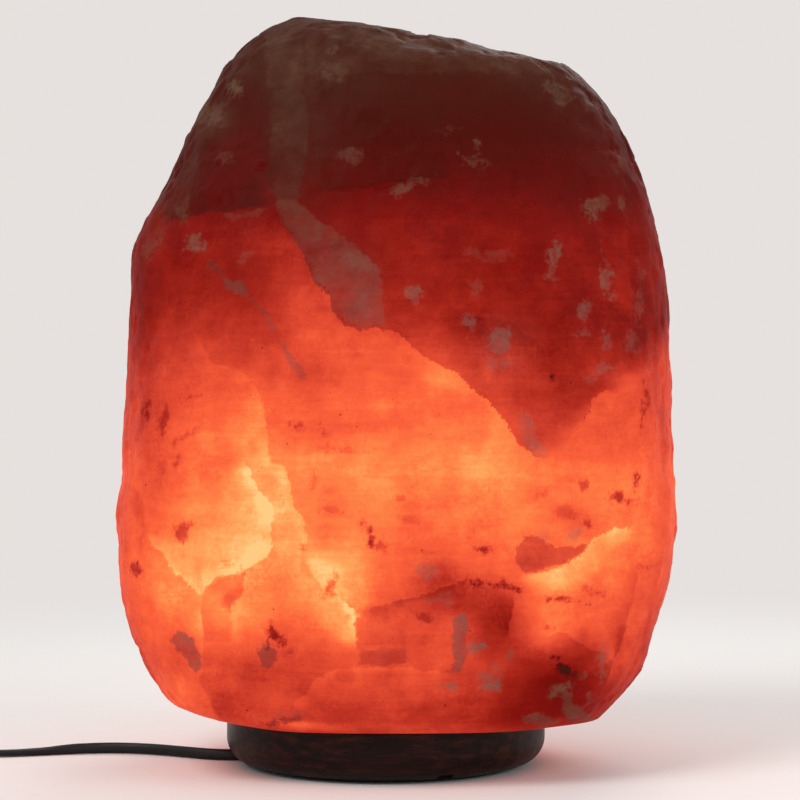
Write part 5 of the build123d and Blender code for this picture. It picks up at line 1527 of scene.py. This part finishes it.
def relief_sleeve(housing, line, length, radius):
    """A ribbed sleeve that tapers along a cord: its mesh. Its housing is where it starts."""
    line = [Vector(housing) * MM, *line]
    runs = np.concatenate([[0], np.cumsum([(b - a).length / MM for a, b in zip(line, line[1:])])])
    places = np.array([tuple(place) for place in line])
    stations = np.linspace(0, length, int(length / RELIEF_STATION))
    centres = np.stack([np.interp(stations, runs, places[:, k]) for k in range(3)], axis=1)
    end_wide, end_high = RELIEF_END
    shell, rings = bmesh.new(), []
    for i, (run, centre) in enumerate(zip(stations, centres)):
        ahead, behind = centres[min(i + 3, len(centres) - 1)], centres[max(i - 3, 0)]
        level, rise = crosswise(Vector(ahead - behind).normalized())
        share = run / length
        groove = RELIEF_GROOVE * eased(abs((run / RELIEF_PITCH) % 1 - 0.5), 0.30, 0.42)
        # plain at both ends, and rounded off at the far one
        groove *= 0.0 if run < 1.5 or run > length - 2.0 else 1.0
        rounding = 0.35 * max(0.0, run - length + 1.2)
        high = radius * RELIEF_FLATNESS
        wide = radius + (end_wide - radius) * share - groove - rounding
        high = high + (end_high - high) * share - groove - rounding
        ring = []
        for j in range(RELIEF_SIDES):
            angle = 2 * math.pi * j / RELIEF_SIDES
            offset = level * (wide * math.cos(angle)) + rise * (high * math.sin(angle))
            ring.append(shell.verts.new(Vector(centre) + offset * MM))
        rings.append(ring)
    tube_faces(shell, rings)
    return tube_mesh("sleeve", shell)


def build_strap():
    """The hook-and-loop strap round the coil, with its overlapping end."""
    low, high = ([value / MM for value in corner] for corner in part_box("coil_tie"))
    half_y, half_z = (high[1] - low[1]) / 2, (high[2] - low[2]) / 2
    y, z = (low[1] + high[1]) / 2, (low[2] + high[2]) / 2
    path = []
    for turn, (side_y, side_z) in enumerate(((1, 1), (-1, 1), (-1, -1), (1, -1))):
        middle = (y + side_y * (half_y - STRAP_CORNER), z + side_z * (half_z - STRAP_CORNER))
        path += [(middle, math.pi / 2 * (turn + step / 6)) for step in range(7)]
    rows = [
        [(a + radius * math.cos(angle), b + radius * math.sin(angle)) for (a, b), angle in path]
        for radius in (STRAP_CORNER, STRAP_CORNER - STRAP_THICKNESS)
    ]
    points = [(x, *place) for x in (low[0], high[0]) for row in rows for place in row]
    count, faces = len(path), []
    for i in range(count):
        j = (i + 1) % count
        o0, o1, n0, n1 = i, j, count + i, count + j
        faces += [(o0, o1, o1 + 2 * count, o0 + 2 * count), (n1, n0, n0 + 2 * count, n1 + 2 * count)]
        faces += [(o1, o0, n0, n1), (o0 + 2 * count, o1 + 2 * count, n1 + 2 * count, n0 + 2 * count)]
    # the free end lies over the top, with a rounded tip
    top = z + half_z
    tab = [(low[0] + 0.3, y + 5.0), (high[0] - 0.3, y + 5.0)]
    tip = [math.pi * k / 8 for k in range(9)]
    tab += [((low[0] + high[0]) / 2 + 3.6 * math.cos(t), y - 4.0 - 3.0 * math.sin(t)) for t in tip]
    first, size = len(points), len(tab)
    points += [(a, b, level) for level in (top - 0.2, top + 0.75) for a, b in tab]
    faces += [tuple(range(first, first + size)), tuple(reversed(range(first + size, first + 2 * size)))]
    for k in range(size):
        m = (k + 1) % size
        faces.append((first + k, first + size + k, first + size + m, first + m))
    mesh = recalculated(mesh_of("coil_strap", points, faces))
    strap = new_piece("coil_strap", mesh, [loop_tape()], smooth=False)
    sharp_over(mesh, STRAP_SHARP)
    standing_for(strap, "cord_set", "case_plastic", "coil_tie")
    return strap


def loop_tape():
    """Nylon hook-and-loop tape, woven: dull black, its loops drawn 1.2 mm apart so that they show."""
    return mottled("nylon_loop_tape_black", ("101012", "1F1F22"), 1.6, (0.85, 1.0), 1.2, 0.25)


def soft_pvc():
    """Soft PVC, moulded on the cord: black, satin, with the faint orange peel of a warm mould."""
    return mottled("soft_pvc_moulded_black", ("121214", "1B1B1E"), 9.0, (0.40, 0.52), 1.0, 0.04)


def length_of(line):
    """A line's length."""
    return sum((b - a).length for a, b in zip(line, line[1:]))


def interpolated(value, table):
    """A value from a table of (place, value), straight between its places."""
    return float(np.interp(value, [row[0] for row in table], [row[1] for row in table]))


def sheath():
    """Soft black PVC, drawn smooth and dull: grey bloom on top, a soft wide shine."""
    material, node, shader = new_material("cord_sheath_pvc_matt")
    bloom = pattern(node, 14.0, [(0.3, 0.0), (0.7, 1.0)], 3.0)
    feed(
        shader, Base_Color=node("Mix", COLOURS, bloom, i6=colour("0B0A0B"), i7=colour("131213"), out=2),
        Roughness=pattern(node, 3.0, [(0.3, 0.42), (0.7, 0.52)]), Specular_IOR_Level=0.25,
        Normal=node("Bump", Height=grain(node, 1.6), Distance=0.06 * MM, Strength=0.6),
    )
    return material


def laid_down(line, lean, wide, thick):
    """A lead's line, let down between its two ends until its section rests on the floor."""
    laid, run = [], 0.0
    for i, here in enumerate(line):
        if i:
            run += (line[i] - line[i - 1]).length / MM
        turn = math.radians(interpolated(run, lean))
        half = math.hypot(wide / 2 * math.sin(turn), thick / 2 * math.cos(turn))
        share = min(1.0, max(0.0, (run - 8) / 22)) * min(1.0, max(0.0, (195 - run) / 35))
        height = here.z / MM
        laid.append(Vector((here.x, here.y, (height + (half + FLOOR_GAP - height) * share) * MM)))
    return laid


def build_cords():
    """Makes the leads with their strain reliefs and strap."""
    settings = bpy.context.scene.salt_lamp_cord
    wide, thick = settings.width / MM, settings.thickness / MM
    outline = flat_cord_outline(wide, thick)
    material = sheath()

    line = line_of("lamp_lead", LAMP_ROUTE)
    lowered = laid_down(line, LAMP_LEAN, wide, thick)
    lamp_lead = swept_cord(
        "lamp_lead", lowered, outline, lambda run: interpolated(run, LAMP_LEAN), material
    )
    standing_for(lamp_lead, "cord_set", "cord_sheath", "lamp_cord")

    plug_line = line_of("plug_lead", LEAD_START + coil_points()[1:] + LEAD_END)
    plug_total = length_of(plug_line)

    def plug_turn(run):
        left = plug_total / MM - run
        if left < PLUG_LEAN[-1][0]:
            return interpolated(left, PLUG_LEAN)
        return interpolated(run, COIL_LEAN)

    plug_lead = swept_cord("plug_lead", plug_line, outline, plug_turn, material)
    standing_for(plug_lead, "cord_set", "cord_sheath", "dimmer_cord", "cord_coil", "plug_cord")

    inner = line_of("cord_in_base_lead", INNER_ROUTE)
    angles = [2 * math.pi * i / 14 for i in range(14)]
    core = [(INNER_RADIUS * math.cos(angle), INNER_RADIUS * math.sin(angle)) for angle in angles]
    inside = swept_cord("inner_lead", inner, core, lambda run: 0.0, material)
    standing_for(inside, "cord_set", "cord_sheath", "cord_in_base")

    rubber = soft_pvc()
    sleeves = [
        relief_sleeve((CASE_RIGHT, *LAMP_ROUTE[-1][1:]), lowered[::-1], 24.0, 4.5),
        relief_sleeve((CASE_LEFT, *LEAD_START[0][1:]), plug_line, 24.0, 4.5),
    ]
    case_reliefs = new_piece("dimmer_strain_reliefs", joined("dimmer_strain_reliefs", sleeves), [rubber])
    standing_for(case_reliefs, "cord_set", "plug_plastic", "cord_bushes")
    sleeve = relief_sleeve((PLUG_BACK, *LEAD_END[-1][1:]), plug_line[::-1], 30.0, 5.2)
    plug_relief = new_piece("plug_strain_relief", sleeve, [rubber])
    standing_for(plug_relief, "cord_set", "plug_plastic", "plug_boot")
    strap = build_strap()


# ---------------------------------------------------------------- settings and operators


class SaltLampCrystal(bpy.types.PropertyGroup):
    """Sizes and colours of the rock."""

    columns_front: bpy.props.IntProperty(
        name="Front columns", description="Mesh columns on the rock's front half", default=252, min=40
    )
    columns_back: bpy.props.IntProperty(
        name="Back columns", description="Mesh columns on the rock's back half", default=108, min=30
    )
    rows: bpy.props.IntProperty(
        name="Rows", description="Mesh rows from the seat to the top", default=240, min=40
    )
    glow_strength: bpy.props.FloatProperty(
        name="Glow", description="How strongly the rock is lit from inside", default=1.0, min=0.0
    )
    # painted shade: a base colour far darker than the salt's own pale pink
    rock_shaded_colour_code: bpy.props.StringProperty(
        name="Rock colour", description="The unlit rock's colour as an sRGB hex code", default="2A0F09"
    )


class SaltLampCord(bpy.types.PropertyGroup):
    """Sizes of the cord."""

    width: bpy.props.FloatProperty(
        name="Width", description="Width of the flat cord", default=0.006, unit="LENGTH", precision=4
    )
    thickness: bpy.props.FloatProperty(
        name="Thickness", description="Thickness of the flat cord", default=0.0038, unit="LENGTH", precision=4
    )


class SaltLampBulb(bpy.types.PropertyGroup):
    """The bulb's filament."""

    filament_turns: bpy.props.IntProperty(
        name="Filament turns", description="Turns of the filament's coil", default=34, min=4
    )
    filament_glow: bpy.props.FloatProperty(
        name="Filament glow", description="Strength of the filament's light", default=8.0, min=0.0
    )


class SaltLampStage(bpy.types.PropertyGroup):
    """The studio's light."""

    sky_strength: bpy.props.FloatProperty(
        name="Sky", description="Strength of the even light from all round", default=0.55, min=0.0
    )
    key_power: bpy.props.FloatProperty(
        name="Key lamp", description="Power of the largest lamp in watts", default=26.0, min=0.0
    )


class SALTLAMP_OT_crystal(bpy.types.Operator):
    """Makes the glowing rock"""

    bl_idname = "saltlamp.crystal"
    bl_label = "Rock"

    def execute(self, context):
        build_crystal()
        return {"FINISHED"}


class SALTLAMP_OT_cords(bpy.types.Operator):
    """Makes the flat cord with its coil"""

    bl_idname = "saltlamp.cords"
    bl_label = "Cord"

    def execute(self, context):
        build_cords()
        return {"FINISHED"}


class SALTLAMP_OT_base(bpy.types.Operator):
    """Finishes the wooden base, its felt and its screws"""

    bl_idname = "saltlamp.base"
    bl_label = "Base"

    def execute(self, context):
        build_base()
        return {"FINISHED"}


class SALTLAMP_OT_holder(bpy.types.Operator):
    """Finishes the lamp holder and its spring clip"""

    bl_idname = "saltlamp.holder"
    bl_label = "Lamp holder"

    def execute(self, context):
        build_holder()
        return {"FINISHED"}


class SALTLAMP_OT_bulb(bpy.types.Operator):
    """Finishes the bulb and makes its filament"""

    bl_idname = "saltlamp.bulb"
    bl_label = "Bulb"

    def execute(self, context):
        build_bulb()
        return {"FINISHED"}


class SALTLAMP_OT_dimmer(bpy.types.Operator):
    """Finishes the dimmer and makes its ribs, mark and winding"""

    bl_idname = "saltlamp.dimmer"
    bl_label = "Dimmer"

    def execute(self, context):
        build_dimmer()
        return {"FINISHED"}


class SALTLAMP_OT_plug(bpy.types.Operator):
    """Finishes the plug and makes its ribs"""

    bl_idname = "saltlamp.plug"
    bl_label = "Plug"

    def execute(self, context):
        build_plug()
        return {"FINISHED"}


class SALTLAMP_OT_stage(bpy.types.Operator):
    """Makes the floor, the lights and the camera"""

    bl_idname = "saltlamp.stage"
    bl_label = "Stage"

    def execute(self, context):
        build_stage()
        return {"FINISHED"}


OPERATORS = (
    SALTLAMP_OT_stage,
    SALTLAMP_OT_cords,
    SALTLAMP_OT_crystal,
    SALTLAMP_OT_base,
    SALTLAMP_OT_holder,
    SALTLAMP_OT_bulb,
    SALTLAMP_OT_dimmer,
    SALTLAMP_OT_plug,
)
GROUPS = (
    ("salt_lamp_crystal", SaltLampCrystal),
    ("salt_lamp_cord", SaltLampCord),
    ("salt_lamp_bulb", SaltLampBulb),
    ("salt_lamp_stage", SaltLampStage),
)


class SALTLAMP_PT_panel(bpy.types.Panel):
    """Lists the lamp's pieces and their sizes"""

    bl_idname = "SALTLAMP_PT_panel"
    bl_label = "Salt Crystal Lamp"
    bl_space_type = "VIEW_3D"
    bl_region_type = "UI"
    bl_category = "Salt Lamp"

    def draw(self, context):
        for name, group in GROUPS:
            box = self.layout.box()
            for key in group.__annotations__:
                box.prop(getattr(context.scene, name), key)
        for operator in OPERATORS:
            self.layout.operator(operator.bl_idname)


def register():
    """Registers the settings, the operators and the panel."""
    for _, group in GROUPS:
        bpy.utils.register_class(group)
    for name, group in GROUPS:
        setattr(bpy.types.Scene, name, bpy.props.PointerProperty(type=group))
    for item in (*OPERATORS, SALTLAMP_PT_panel):
        bpy.utils.register_class(item)


def unregister():
    """Takes all of it out again, in reverse."""
    for item in (SALTLAMP_PT_panel, *reversed(OPERATORS)):
        bpy.utils.unregister_class(item)
    for name, group in reversed(GROUPS):
        delattr(bpy.types.Scene, name)
        bpy.utils.unregister_class(group)


def main():
    """Runs every operator in order."""
    register()
    for operator in OPERATORS:
        group, name = operator.bl_idname.split(".")
        getattr(getattr(bpy.ops, group), name)()


if __name__ == "__main__":
    main()
